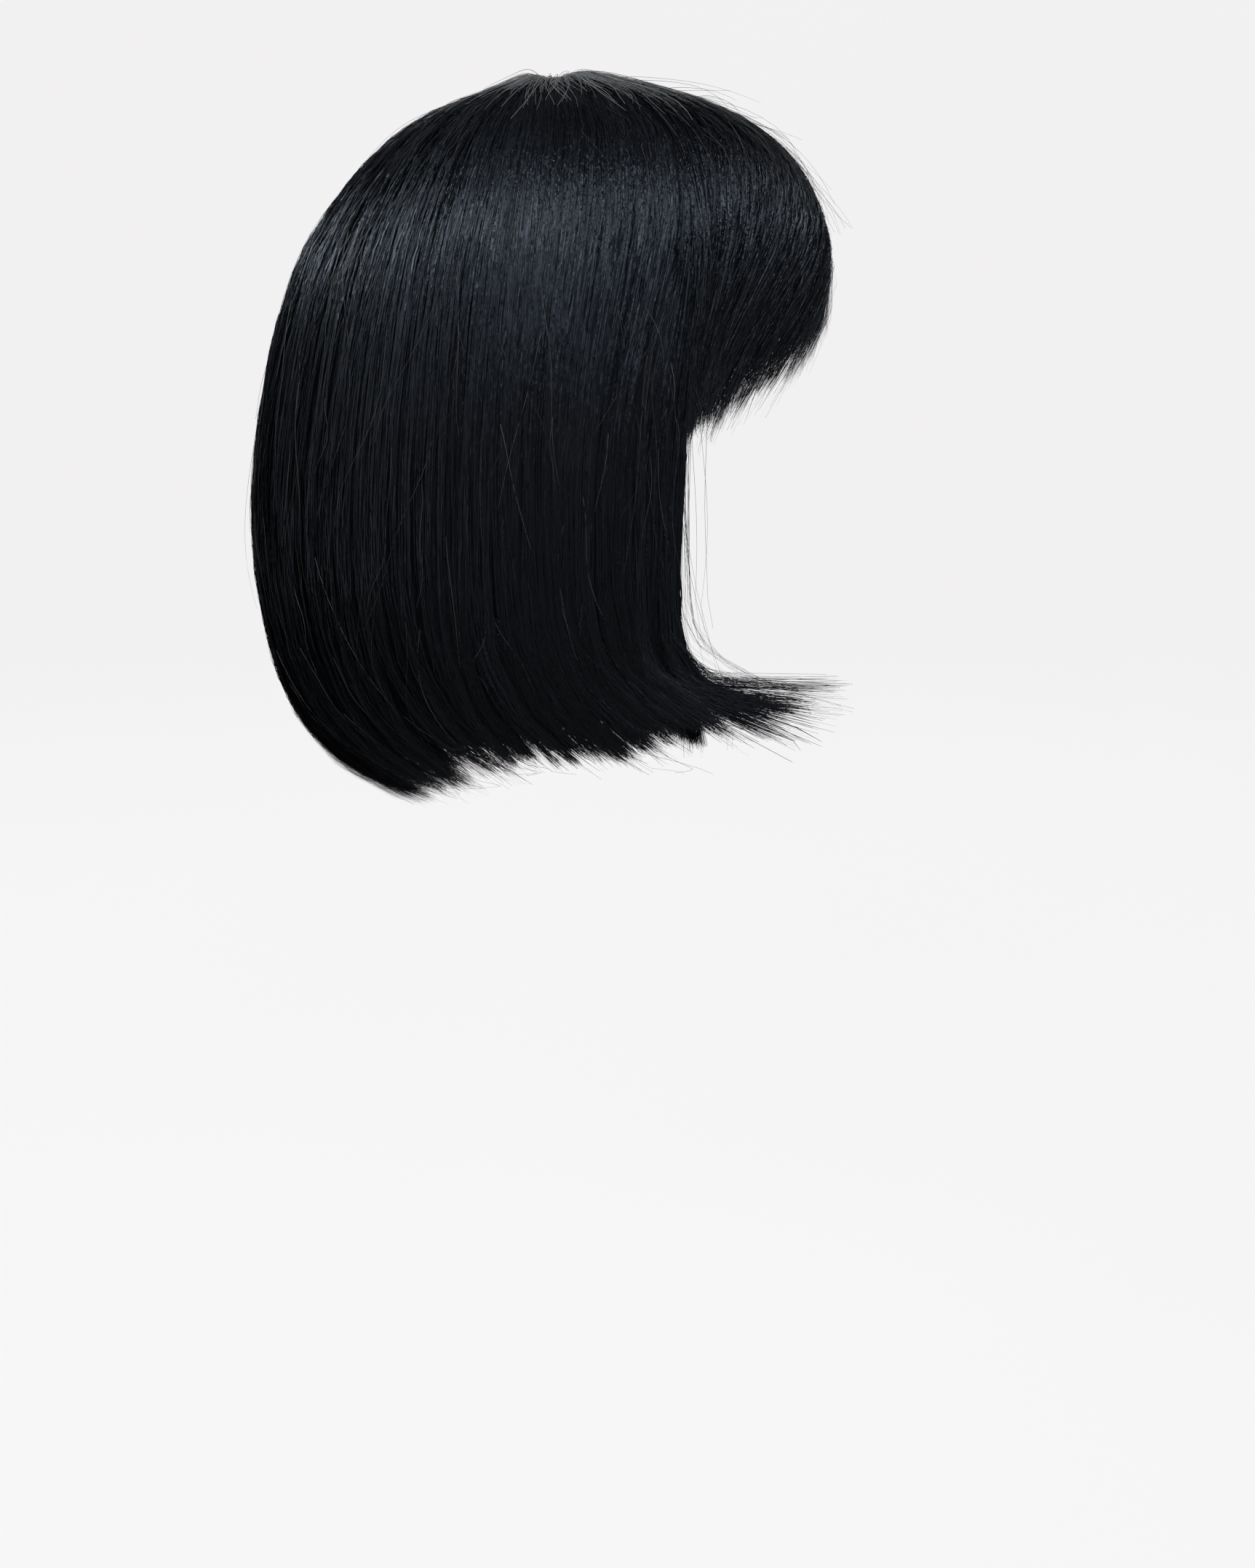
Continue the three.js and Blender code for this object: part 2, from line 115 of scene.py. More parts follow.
# How strands vary, in rings along them or as shares
HEM_TEETH = 0.35
CLUMP_ENDS = 0.07
STRAND_ENDS = 0.1
LONGER_STRANDS = 0.06
LONGEST_EXTRA = 0.35
SHORTER_STRANDS = 0.16
FROM_WHORL = 0.6
FRINGE_SLIDE_RING = 4.5
FRINGE_SLIDE_BEND = 1.8
BRUSHED = 0.97
BRUSHED_LEAST = 0.5
BRUSHED_MOST = 1.02
ROLL = 0.22
TIP_WIDTH = 0.15
TAPERED_FROM = 0.72
NECK_SHARE = 0.62

LEVEL = -HEAD_HEIGHT
DOME_HEIGHT = HEAD_HEIGHT + TOP_LIFT
FRONT_REACH = HEAD_LENGTH / 2 + WHORL_BACK + FRONT_LIFT
BACK_REACH = HEAD_LENGTH / 2 - WHORL_BACK + BACK_LIFT
SIDE_REACH = HEAD_WIDTH / 2 + SIDE_LIFT

# The hair's outer form from the crown whorl down: rise, drop, front, side, back and depth
RINGS = np.array(
    [
        (1.0, 0, 0.027, 0.03, 0.023, 1),
        (0.998, 0, 0.1, 0.1, 0.062, 1),
        (0.982, 0, 0.225, 0.225, 0.105, 1),
        (0.946, 0, 0.38, 0.345, 0.175, 1),
        (0.893, 0, 0.56, 0.475, 0.3, 1),
        (0.814, 0, 0.715, 0.595, 0.44, 1),
        (0.705, 0, 0.842, 0.69, 0.552, 1),
        (0.553, 0, 0.937, 0.778, 0.664, 1),
        (0.352, 0, 1.0, 0.853, 0.78, 1),
        (0.101, 0, 0.982, 0.912, 0.866, 0.85),
        (0, 0.1, 0.925, 0.956, 0.934, 0.6),
        (0, 0.253, 0.9, 0.985, 0.98, 0.52),
        (0, 0.404, 0.89, 1.0, 1.0, 0.48),
        (0, 0.556, 0.905, 0.99, 0.983, 0.46),
        (0, 0.682, 0.93, 0.955, 0.954, 0.44),
        (0, 0.783, 0.92, 0.885, 0.901, 0.41),
        (0, 0.874, 0.86, 0.79, 0.798, 0.36),
        (0, 0.944, 0.77, 0.68, 0.646, 0.3),
        (0, 1.0, 0.66, 0.56, 0.477, 0.24),
    ]
)
RISE, DROP, FRONT, SIDE, BACK, DEPTH = RINGS.T
LAST_RING = len(RINGS) - 1

# Azimuths and how low the hair ends there
RIGHT_HEM = ((60, 70, 79, 90, 101, 112), (0.67, 0.68, 0.71, 0.785, 0.81, 0.805))
BACK_HEM = (
    (112, 126, 140, 160, 185, 210, 234, 248),
    (0.82, 0.855, 0.905, 0.955, 1.0, 0.98, 0.93, 0.9),
)
LEFT_HEM = ((248, 262, 276, 288, 300), (0.885, 0.885, 0.9, 0.93, 0.965))
FRINGE_HEM = ((-60, -40, -12, 14, 38, 60), (0.1, 0.03, -0.02, 0.02, 0.09, 0.15))
NAPE_HEMS = ((136, 224), (NAPE_HEM, NAPE_HEM))
HANGING_HEM = (RIGHT_HEM[0] + BACK_HEM[0][1:] + LEFT_HEM[0][1:],)
HANGING_HEM += (RIGHT_HEM[1] + BACK_HEM[1][1:] + LEFT_HEM[1][1:],)

# Azimuths, how strongly the ends are brushed forward there, and the drop where that starts
SWEEP = (
    (-60, 60, 70, 79, 90, 101, 112, 126, 150, 180, 210, 248, 300),
    (0.055, 1.0, 0.8, 0.58, 0.36, 0.25, 0.19, 0.13, 0.06, 0, 0.03, 0.05, 0.055),
)
SWEEP_START = ((-60, 60, 70, 79, 90, 300), (0.38, 0.44, 0.42, 0.4, 0.38, 0.38))

# Azimuths and how far the strands' hem lies above the solid's points, in lengths of a point
RAISED = (
    (-60, 59, 61, 70, 82, 101, 112, 126, 160, 300),
    (0.0, 0.0, -0.3, -0.25, 0.35, 0.55, 0.3, 0.0, 0.0, 0.0),
)

BAKE_MAP = "OFBake"


def smooth_column(column, place):
    """Values of a column at places between its rows, on a smooth curve through them."""
    column = np.asarray(column, float)
    last = len(column) - 1
    row = np.clip(np.floor(place).astype(int), 0, last - 1)
    a, b, c, d = (column[np.clip(row + step, 0, last)] for step in (-1, 0, 1, 2))
    t = place - row
    bend = 2 * a - 5 * b + 4 * c - d + (3 * b - a - 3 * c + d) * t
    return b + 0.5 * t * (c - a + t * bend)


def by_azimuth(table, azimuth):
    """Values of a table that lists azimuths."""
    stations, values = (np.asarray(column, float) for column in table)
    row = np.clip(np.searchsorted(stations, azimuth) - 1, 0, len(stations) - 2)
    share = (azimuth - stations[row]) / (stations[row + 1] - stations[row])
    return smooth_column(values, row + np.clip(share, 0, 1))


def ring_height(ring):
    rise = smooth_column(RISE, ring)
    drop = smooth_column(DROP, ring)
    return LEVEL + rise * DOME_HEIGHT - drop * HANG_LENGTH


RING_STEPS = np.linspace(0, LAST_RING, 1801)
RING_HEIGHTS = np.minimum.accumulate(ring_height(RING_STEPS))


def ring_at_height(height):
    return np.interp(-np.asarray(height), -RING_HEIGHTS, RING_STEPS)


def hem_height(hem):
    return LEVEL - hem * np.where(hem < 0, DOME_HEIGHT, HANG_LENGTH)


def smooth_step(value, low, high):
    t = np.clip((value - low) / (high - low), 0, 1)
    return t * t * (3 - 2 * t)


def mixed(first, second, share):
    return first + (second - first) * share


def unit(vectors):
    length = np.linalg.norm(vectors, axis=-1, keepdims=True)
    return vectors / np.maximum(length, 1e-12)


def capped_head_reach(direction, height):
    """How far the capped head reaches from its middle in a direction, at a height."""
    below = (LEVEL - height) / HEAD_HEIGHT
    share = np.where(height < LEVEL, np.maximum(1 - HEAD_TAPER * below**2, NECK_SHARE), 1)
    across = direction[..., 0] / (HEAD_WIDTH / 2 * share)
    length = direction[..., 1] / (HEAD_LENGTH / 2 * share)
    up = direction[..., 2] / HEAD_HEIGHT
    return CAP_WALL * share + 1 / np.sqrt(across**2 + length**2 + up**2)


def form_point(azimuth, ring):
    """The undisturbed outer form. Above the first ring it closes over the whorl."""
    azimuth, ring = np.broadcast_arrays(azimuth, ring)
    on_form = np.maximum(ring, 0)
    closing = np.clip(1 + np.minimum(ring, 0), 0, 1)
    angle = np.radians(azimuth)
    facing = np.cos(angle)
    front = smooth_column(FRONT, on_form) * FRONT_REACH
    back = smooth_column(BACK, on_form) * BACK_REACH
    reach = np.where(facing > 0, front, back) * closing
    side = smooth_column(SIDE, on_form) * SIDE_REACH * closing
    x = -side * np.sin(angle)
    y = -reach * facing
    dip = WHORL_DIP * np.exp(-((x / WHORL_DIP_WIDTH) ** 2) - (y / WHORL_DIP_LENGTH) ** 2)
    return np.stack([x, WHORL_BACK + y, ring_height(on_form) - dip], -1)


def wall_at(azimuth, ring):
    """Middle, outward direction, outer reach and full thickness of the wall of hair."""
    outer = form_point(azimuth, ring)
    middle = np.zeros_like(outer)
    middle[..., 2] = np.minimum(LEVEL, outer[..., 2])
    outward = outer - middle
    reach = np.linalg.norm(outward, axis=-1)
    outward = outward / reach[..., None]
    head = capped_head_reach(outward, middle[..., 2]) + CAP_GAP
    reach = np.maximum(reach, head + HAIR_LEAST)
    depth = smooth_column(DEPTH, np.maximum(ring, 0)) * HAIR_DEPTH
    return middle, outward, reach, np.minimum(reach - head, depth)


def swept_forward(azimuth, height):
    drop = (LEVEL - height) / HANG_LENGTH
    hem = by_azimuth(HANGING_HEM, np.maximum(azimuth, FACE_EDGE))
    drop = np.minimum(drop, hem + SHORT_BELOW_HEM)
    start = by_azimuth(SWEEP_START, azimuth)
    along = np.maximum((drop - start) / (SWEEP_FULL - start), 0)
    return by_azimuth(SWEEP, azimuth) * SWEEP_LENGTH * along**3


# A section's first and shared rings, how its strands lean, end, part and are brushed, and its seed
USUAL_SETTINGS = {
    "top_ring": 0,
    "shared_ring": SHARED_RING,
    "lean": 0.0,
    "tooth": LOCK_TOOTH,
    "seed": 1,
    "swoop": 0.0,
    "from_behind": 0.0,
    "inside_ring": 8.5,
    "loose": 1.0,
    "hooked": 0.0,
    "filled": LAYER_FILLED,
}


class Section:
    """One section of the hair: where its strands run and end."""

    def __init__(self, node, hems, edge_at, locks, rows, breadth, **given):
        self.node = node
        self.hems = hems
        self.edge_at = edge_at
        self.locks = locks
        self.rows = rows
        self.breadth = breadth
        for name, usual in USUAL_SETTINGS.items():
            setattr(self, name, given.get(name, usual))

    def offset(self, across):
        """0 on a lock's ridge to 1 in a furrow, and the lock's number."""
        lock = np.clip(np.floor(across * self.locks), 0, self.locks - 1)
        return np.abs(2 * (across * self.locks - lock) - 1), lock

    def hem_ring(self, across, teeth=1.0, raised=None):
        across = np.clip(across, 0, 1)
        offset, lock = self.offset(across)
        low, high = self.edge_at(np.full_like(across, LAST_RING))
        azimuth = mixed(low, high, 1 - (1 - across) ** (1 + self.lean))
        point = hem_height(by_azimuth(self.hems, azimuth))
        point = point + self.tooth * teeth * offset**POINT_SHARPNESS
        if raised is not None:
            point = point + self.tooth * (raised + by_azimuth(RAISED, azimuth))
        uneven = LOCK_UNEVEN * np.sin(LOCK_RHYTHM * lock) * (1 - offset)
        return ring_at_height(point - uneven * teeth)

    def swept_across(self, across, slid):
        """Where a strand has come to that is swept aside on its way down."""
        if not self.swoop:
            return across
        start = np.clip((across + self.from_behind) / (1 + self.from_behind), 0, 1)
        return mixed(across, 1 - (1 - start) ** self.swoop, slid)

    def along(self, ring, end):
        """The share of the way from the roots to the hem."""
        shared = self.shared_ring - self.top_ring
        beyond = (ring - self.shared_ring) / np.maximum(end - self.shared_ring, 0.3)
        lower = shared + beyond * (self.rows - 1 - shared)
        upper = ring - self.top_ring
        return np.where(ring <= self.shared_ring, upper, lower) / (self.rows - 1)

    def ring_at(self, along, end):
        shared = self.shared_ring - self.top_ring
        row = along * (self.rows - 1)
        beyond = (row - shared) / (self.rows - 1 - shared)
        lower = mixed(self.shared_ring, end, beyond)
        return np.where(row <= shared, self.top_ring + row, lower)

    def place(self, across, ring, sunk, brushed=1.0, upturn=0.0):
        """Points sunk under the outer form, with their directions and the wall there.

        A sunk of 0 is the outer face and 1 the inner face, to which metres are added.
        Ends that are brushed forward beside the face can turn up."""
        share, metres = sunk
        across = np.clip(across, -self.from_behind, 1)
        along = np.clip(self.along(ring, self.hem_ring(across)), 0, 1.1)
        low, high = self.edge_at(ring)
        azimuth = mixed(low, high, 1 - (1 - across) ** (1 + self.lean * along))
        middle, outward, reach, full = wall_at(azimuth, ring)
        thickness = mixed(full, TIP_THICKNESS, np.clip(along, 0, 1) ** TAPER_START)
        offset, _ = self.offset(across)
        furrow = (1 - np.sqrt(1 - np.minimum(offset, 1) ** 2)) * np.clip(along / ROOT_SHARE, 0, 1)
        furrow = furrow * STRAND_RELIEF * np.minimum(LOCK_RELIEF, RELIEF_SHARE * thickness)
        points = middle + outward * (reach - furrow - share * thickness - metres)[..., None]
        sideways = unit(form_point(azimuth + 1, ring) - form_point(azimuth - 1, ring))
        swept = swept_forward(azimuth, ring_height(np.maximum(ring, 0)))
        beside_face = 1 - smooth_step(np.abs(azimuth - FACE_EDGE), *FLIP_FADE)
        share = np.clip(swept / SWEEP_LENGTH, 0, 1)
        late = mixed(1.0, share**FLIP_DELAY, self.hooked * beside_face)
        points[..., 1] -= brushed * swept * late
        sunken = FLIP_SAG * self.hooked * np.sqrt(share)
        points[..., 2] += (upturn * share**3 - sunken) * beside_face
        return points, outward, sideways, thickness


class NapeSection(Section):
    """The layer under the back section, from the cap's lower edge to the neck."""

    def place(self, across, ring, sunk, brushed=1.0, upturn=0.0):
        share, metres = sunk
        across = np.clip(across, 0, 1)
        along = np.clip(self.along(ring, self.hem_ring(across)), 0, 1.1)
        azimuth = mixed(180 - NAPE_EDGE, 180 + NAPE_EDGE, across)
        middle, outward, reach, cover = wall_at(azimuth, ring)
        inner_cover = reach - cover - NAPE_CLEARANCE
        head = capped_head_reach(outward, middle[..., 2]) + NAPE_SEAT
        thickness = mixed(NAPE_THICKNESS, TIP_THICKNESS, np.clip(along, 0, 1) ** TAPER_START)
        rooted = np.minimum(head + thickness, inner_cover)
        free = smooth_step(ring, NAPE_TOP_RING, NAPE_FREE_RING)
        outer = mixed(rooted, np.maximum(inner_cover, rooted), free)
        offset, _ = self.offset(across)
        curve = 1 - np.sqrt(1 - np.minimum(offset, 1) ** 2)
        furrow = STRAND_RELIEF * RELIEF_SHARE * thickness * curve
        sink = furrow + share * thickness + metres
        points = middle + outward * np.maximum(outer - sink, head)[..., None]
        sideways = unit(form_point(azimuth + 1, ring) - form_point(azimuth - 1, ring))
        points[..., 1] -= brushed * swept_forward(azimuth, ring_height(ring))
        return points, outward, sideways, thickness


def face_lock_width(ring):
    grown = smooth_step(ring, FACE_LOCK_TOP_RING, FACE_LOCK_FULL_RING)
    return mixed(FACE_LOCK_ROOT, FACE_LOCK_WIDTH, grown)


def right_face_edge(ring):
    return FACE_EDGE + np.where(ring < FACE_LOCK_TOP_RING, 0, face_lock_width(ring))


FRINGE_SECTION = Section(
    "fringe",
    FRINGE_HEM,
    lambda ring: (-FACE_EDGE, FACE_EDGE),
    9,
    12,
    0.190,
    shared_ring=FRINGE_SHARED_RING,
    lean=FRINGE_LEAN,
    tooth=FRINGE_TOOTH,
    seed=11,
    swoop=1.7,
    from_behind=0.3,
    inside_ring=6.5,
    filled=0.84,
)
RIGHT_SECTION = Section(
    "side_hair_right",
    RIGHT_HEM,
    lambda ring: (right_face_edge(ring), RIGHT_BACK_EDGE),
    6,
    18,
    0.085,
    seed=12,
    hooked=1.0,
)
LEFT_SECTION = Section(
    "side_hair_left",
    LEFT_HEM,
    lambda ring: (LEFT_BACK_EDGE, 360 - right_face_edge(ring)),
    6,
    18,
    0.085,
    seed=13,
)
BACK_SECTION = Section(
    "back_hair",
    BACK_HEM,
    lambda ring: (RIGHT_BACK_EDGE, LEFT_BACK_EDGE),
    10,
    18,
    0.260,
    seed=14,
    inside_ring=10.5,
)
RIGHT_FACE_SECTION = Section(
    "face_lock_right",
    RIGHT_HEM,
    lambda ring: (FACE_EDGE, right_face_edge(ring)),
    2,
    12,
    0.020,
    top_ring=FACE_LOCK_TOP_RING,
    seed=15,
    inside_ring=7.5,
    loose=1.7,
    hooked=1.0,
)
LEFT_FACE_SECTION = Section(
    "face_lock_left",
    LEFT_HEM,
    lambda ring: (360 - right_face_edge(ring), 360 - FACE_EDGE),
    2,
    12,
    0.020,
    top_ring=FACE_LOCK_TOP_RING,
    seed=16,
    inside_ring=7.5,
)
NAPE_SECTION = NapeSection(
    "nape_hair",
    NAPE_HEMS,
    lambda ring: (180 - NAPE_EDGE, 180 + NAPE_EDGE),
    6,
    10,
    0.150,
    top_ring=NAPE_TOP_RING,
    seed=17,
    inside_ring=11.0,
)


class Reading:
    """A number in a material, for expressions."""

    def __init__(self, finish, socket):
        self.finish = finish
        self.socket = socket

    def maths(self, operation, *values):
        inputs = dict(enumerate(values))
        made = self.finish.node("ShaderNodeMath", inputs, operation=operation)
        return Reading(self.finish, made.outputs[0])

    def __add__(self, other):
        return self.maths("ADD", self, other)

    def __radd__(self, other):
        return self.maths("ADD", other, self)

    def __sub__(self, other):
        return self.maths("SUBTRACT", self, other)

    def __rsub__(self, other):
        return self.maths("SUBTRACT", other, self)

    def __mul__(self, other):
        return self.maths("MULTIPLY", self, other)

    def __rmul__(self, other):
        return self.maths("MULTIPLY", other, self)

    def __mod__(self, other):
        return self.maths("WRAP", self, other, 0.0)

    def __pow__(self, other):
        return self.maths("POWER", self, other)

    def wave(self):
        return self.maths("SINE", self)


class Finish:
    """A material that is built up from nodes."""

    def __init__(self, name):
        self.material = bpy.data.materials.new(name)
        self.material.use_nodes = True
        self.tree = self.material.node_tree
        self.tree.nodes.clear()

    def node(self, kind, inputs=None, stops=None, **settings):
        made = self.tree.nodes.new(kind)
        for setting, value in settings.items():
            setattr(made, setting, value)
        if stops:
            ramp = made.color_ramp.elements
            while len(ramp) < len(stops):
                ramp.new(1.0)
            for element, (position, colour) in zip(ramp, stops):
                element.position = position
                element.color = (*colour, 1.0)
        for socket, value in (inputs or {}).items():
            if isinstance(value, Reading):
                value = value.socket
            if isinstance(value, bpy.types.NodeSocket):
                self.tree.links.new(value, made.inputs[socket])
            else:
                made.inputs[socket].default_value = value
        return made

    def reading(self, made, output=0):
        return Reading(self, made.outputs[output])

    def blend(self, share, first, second):
        """A colour between two, the first of which can come from another node."""
        if not isinstance(first, bpy.types.NodeSocket):
            first = (*first, 1.0)
        ends = {0: share, 6: first, 7: (*second, 1.0)}
        return self.node("ShaderNodeMix", ends, data_type="RGBA").outputs[2]

    def noise(self, place, scale, **detail):
        inputs = {"Vector": place, "Scale": scale, **detail}
        return self.reading(self.node("ShaderNodeTexNoise", inputs))

    def bumps(self, height, strength, distance):
        inputs = {"Height": height, "Strength": strength, "Distance": distance}
        return self.node("ShaderNodeBump", inputs).outputs[0]

    def surface(self, **inputs):
        """The shader itself. Underscores in the names stand for spaces."""
        named = {name.replace("_", " "): value for name, value in inputs.items()}
        shader = self.node("ShaderNodeBsdfPrincipled", named)
        output = self.node("ShaderNodeOutputMaterial", {"Surface": shader.outputs[0]})
        output.target = "ALL"
        return self.material


def on_map(finish, name):
    """The two coordinates of a piece's own map."""
    place = finish.node("ShaderNodeUVMap", uv_map=name)
    apart = finish.node("ShaderNodeSeparateXYZ", {0: place.outputs[0]})
    return finish.reading(apart), finish.reading(apart, 1)


GLINTS = (61.0, 60.0, 7.0)
GLINT_HEIGHT = 0.0007
STRAND_GLOSS = 0.22
GLOSS_SPREAD = 0.28
GLOSS_SHUFFLE = 7.3
SPREAD_SIDEWAYS = 0.75
COMBED_STREAKS = (260.0, 3.0, 1.0)
NET_COURSES = 2400.0
NET_WALES = 1900.0


def strand_finish(name, colours, roughness):
    """Hair: the map's first coordinate is a strand's own tone, the second runs to its tip."""
    finish = Finish(name)
    tone, tip = on_map(finish, BAKE_MAP)
    shade = finish.blend(tone, colours.deep, colours.light)
    worn = finish.blend((tip**6) * 0.5, shade, colours.tip)
    gloss = roughness + ((tone * GLOSS_SHUFFLE) % 1.0) * GLOSS_SPREAD
    spots = {0: tone * GLINTS[0], 1: tip * GLINTS[1], 2: tone * GLINTS[2]}
    along = finish.node("ShaderNodeCombineXYZ", spots)
    uneven = finish.noise(along.outputs[0], 1.0, Detail=2.0)
    return finish.surface(
        Base_Color=worn,
        Roughness=gloss,
        IOR=1.55,
        Specular_IOR_Level=0.55,
        Specular_Tint=(*colours.sheen, 1.0),
        Anisotropic=SPREAD_SIDEWAYS,
        Normal=finish.bumps(uneven, 1.0, GLINT_HEIGHT),
    )


def fine_sheen_finish(name, colours):
    """Single fine hairs, coloured lighter than the mass behind them: a painted sheen for the light
    caught by hairs at the crown and the outline.
    """
    finish = Finish(name)
    tone, tip = on_map(finish, BAKE_MAP)
    return finish.surface(
        Base_Color=finish.blend(tone, colours.light, colours.fine),
        Roughness=0.36 + tip * 0.1,
        IOR=1.55,
        Specular_IOR_Level=0.5,
    )


def under_finish(name, colours):
    """The combed mass of hair behind the strands, with streaks along its own map."""
    finish = Finish(name)
    place = finish.node("ShaderNodeUVMap", uv_map="Comb")
    stretched = finish.node("ShaderNodeMapping", {0: place.outputs[0], "Scale": COMBED_STREAKS})
    streak = finish.noise(stretched.outputs[0], 1.0, Detail=3.0)
    return finish.surface(
        Base_Color=finish.blend(streak, colours.deep, colours.light),
        Roughness=0.5 + streak * 0.3,
        IOR=1.5,
        Specular_IOR_Level=0.35,
        Normal=finish.bumps(streak, 0.6, 0.0006),
    )


def net_finish(name, colours):
    """The cap's knitted net, in courses round the head."""
    finish = Finish(name)
    place = finish.node("ShaderNodeTexCoord")
    apart = finish.node("ShaderNodeSeparateXYZ", {0: place.outputs["Object"]})
    side, length, height = (finish.reading(apart, axis) for axis in range(3))
    course = (height * NET_COURSES).wave() * 0.5 + 0.5
    slants = ((side + length) * NET_WALES).wave() * ((side - length) * NET_WALES).wave()
    wale = slants * 0.5 + 0.5
    knit = course * 0.6 + wale * 0.4
    return finish.surface(
        Base_Color=finish.blend(knit, colours.net_shadow, colours.net),
        Roughness=0.72 + knit * 0.2,
        Normal=finish.bumps(knit, 0.7, 0.0005),
        Sheen_Weight=0.2,
    )


def finish_named(name, make, *given):
    """A material that is made the first time that it is asked for."""
    return bpy.data.materials.get(name) or make(name, *given)


def ribbons(points, outward, width, tone, roll, facing=1.0):
    """Corners, faces and map of a bundle of flat strands."""
    count, rows = points.shape[:2]
    running = unit(np.gradient(points, axis=1))
    normal = unit(outward - (outward * running).sum(-1, keepdims=True) * running)
    across = np.cross(running, normal) * facing
    tilt = across * np.cos(roll)[..., None] + normal * np.sin(roll)[..., None]
    half = tilt * (width / 2)[..., None]
    corners = np.stack([points - half, points + half], 2).reshape(-1, 3)
    first = (np.arange(count)[:, None] * rows + np.arange(rows - 1)[None, :]) * 2
    faces = np.stack([first, first + 1, first + 3, first + 2], -1).reshape(-1, 4)
    shade = np.broadcast_to(tone[:, None], (count, rows))
    tip = np.broadcast_to(np.linspace(0.01, 0.99, rows)[None, :], (count, rows))
    places = np.stack([np.stack([shade - 0.002, tip], -1), np.stack([shade + 0.002, tip], -1)], 2)
    return corners, faces, places.reshape(-1, 2)


def threads(points, radius, tone):
    """Corners, faces and map of a bundle of three-sided single hairs."""
    count, rows = points.shape[:2]
    running = unit(np.gradient(points, axis=1))
    aside = unit(np.cross(running, np.array([0.37, 0.21, 0.9])))
    above = np.cross(running, aside)
    ring = []
    for side in range(3):
        angle = 2 * math.pi * side / 3
        away = aside * math.cos(angle) + above * math.sin(angle)
        ring.append(points + away * radius[..., None])
    corners = np.stack(ring, 2).reshape(-1, 3)
    first = (np.arange(count)[:, None] * rows + np.arange(rows - 1)[None, :]) * 3
    faces = []
    for side in range(3):
        here = first + side
        there = first + (side + 1) % 3
        faces.append(np.stack([here, there, there + 3, here + 3], -1))
    faces = np.stack(faces, 2).reshape(-1, 4)
    shade = np.broadcast_to(tone[:, None, None], (count, rows, 3)) + np.array([-0.002, 0.0, 0.002])
    tip = np.broadcast_to(np.linspace(0.01, 0.99, rows)[None, :, None], (count, rows, 3))
    return corners, faces, np.stack([shade, tip], -1).reshape(-1, 2)


def joined(name, bundles, material, nodes, map_name=BAKE_MAP):
    """One piece from the corners, faces and maps of several bundles."""
    corners, faces, places = zip(*bundles)
    passed = np.cumsum([0] + [len(part) for part in corners])
    faces = [part + before for part, before in zip(faces, passed)]
    corners = np.concatenate(corners).astype(np.float32)
    faces = np.concatenate(faces).astype(np.int32)
    places = np.concatenate(places).astype(np.float32)
    mesh = bpy.data.meshes.new(name)
    mesh.vertices.add(len(corners))
    mesh.vertices.foreach_set("co", corners.ravel())
    mesh.loops.add(faces.size)
    mesh.loops.foreach_set("vertex_index", faces.ravel())
    mesh.polygons.add(len(faces))
    mesh.polygons.foreach_set("loop_start", np.arange(0, faces.size, 4, dtype=np.int32))
    mesh.update(calc_edges=True)
    layer = mesh.uv_layers.new(name=map_name)
    layer.uv.foreach_set("vector", places[faces.ravel()].ravel())
    mesh.materials.append(material)
    mesh.validate()
    mesh.shade_smooth()
    piece = bpy.data.objects.new(name, mesh)
    bpy.context.scene.collection.objects.link(piece)
    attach(piece, "root")
    if nodes:
        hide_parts(*nodes)
    return piece


def waves(rng, count, along, rhythm):
    """A slow wander of its own for each strand, between about -1 and 1."""
    total = 0.0
    for part, weight in ((1.0, 0.65), (2.3, 0.35)):
        phase = rng.uniform(0, 2 * math.pi, (count, 1))
        speed = rhythm * part * rng.uniform(0.7, 1.3, (count, 1))
        total = total + weight * np.sin(2 * math.pi * speed * along + phase)
    return total


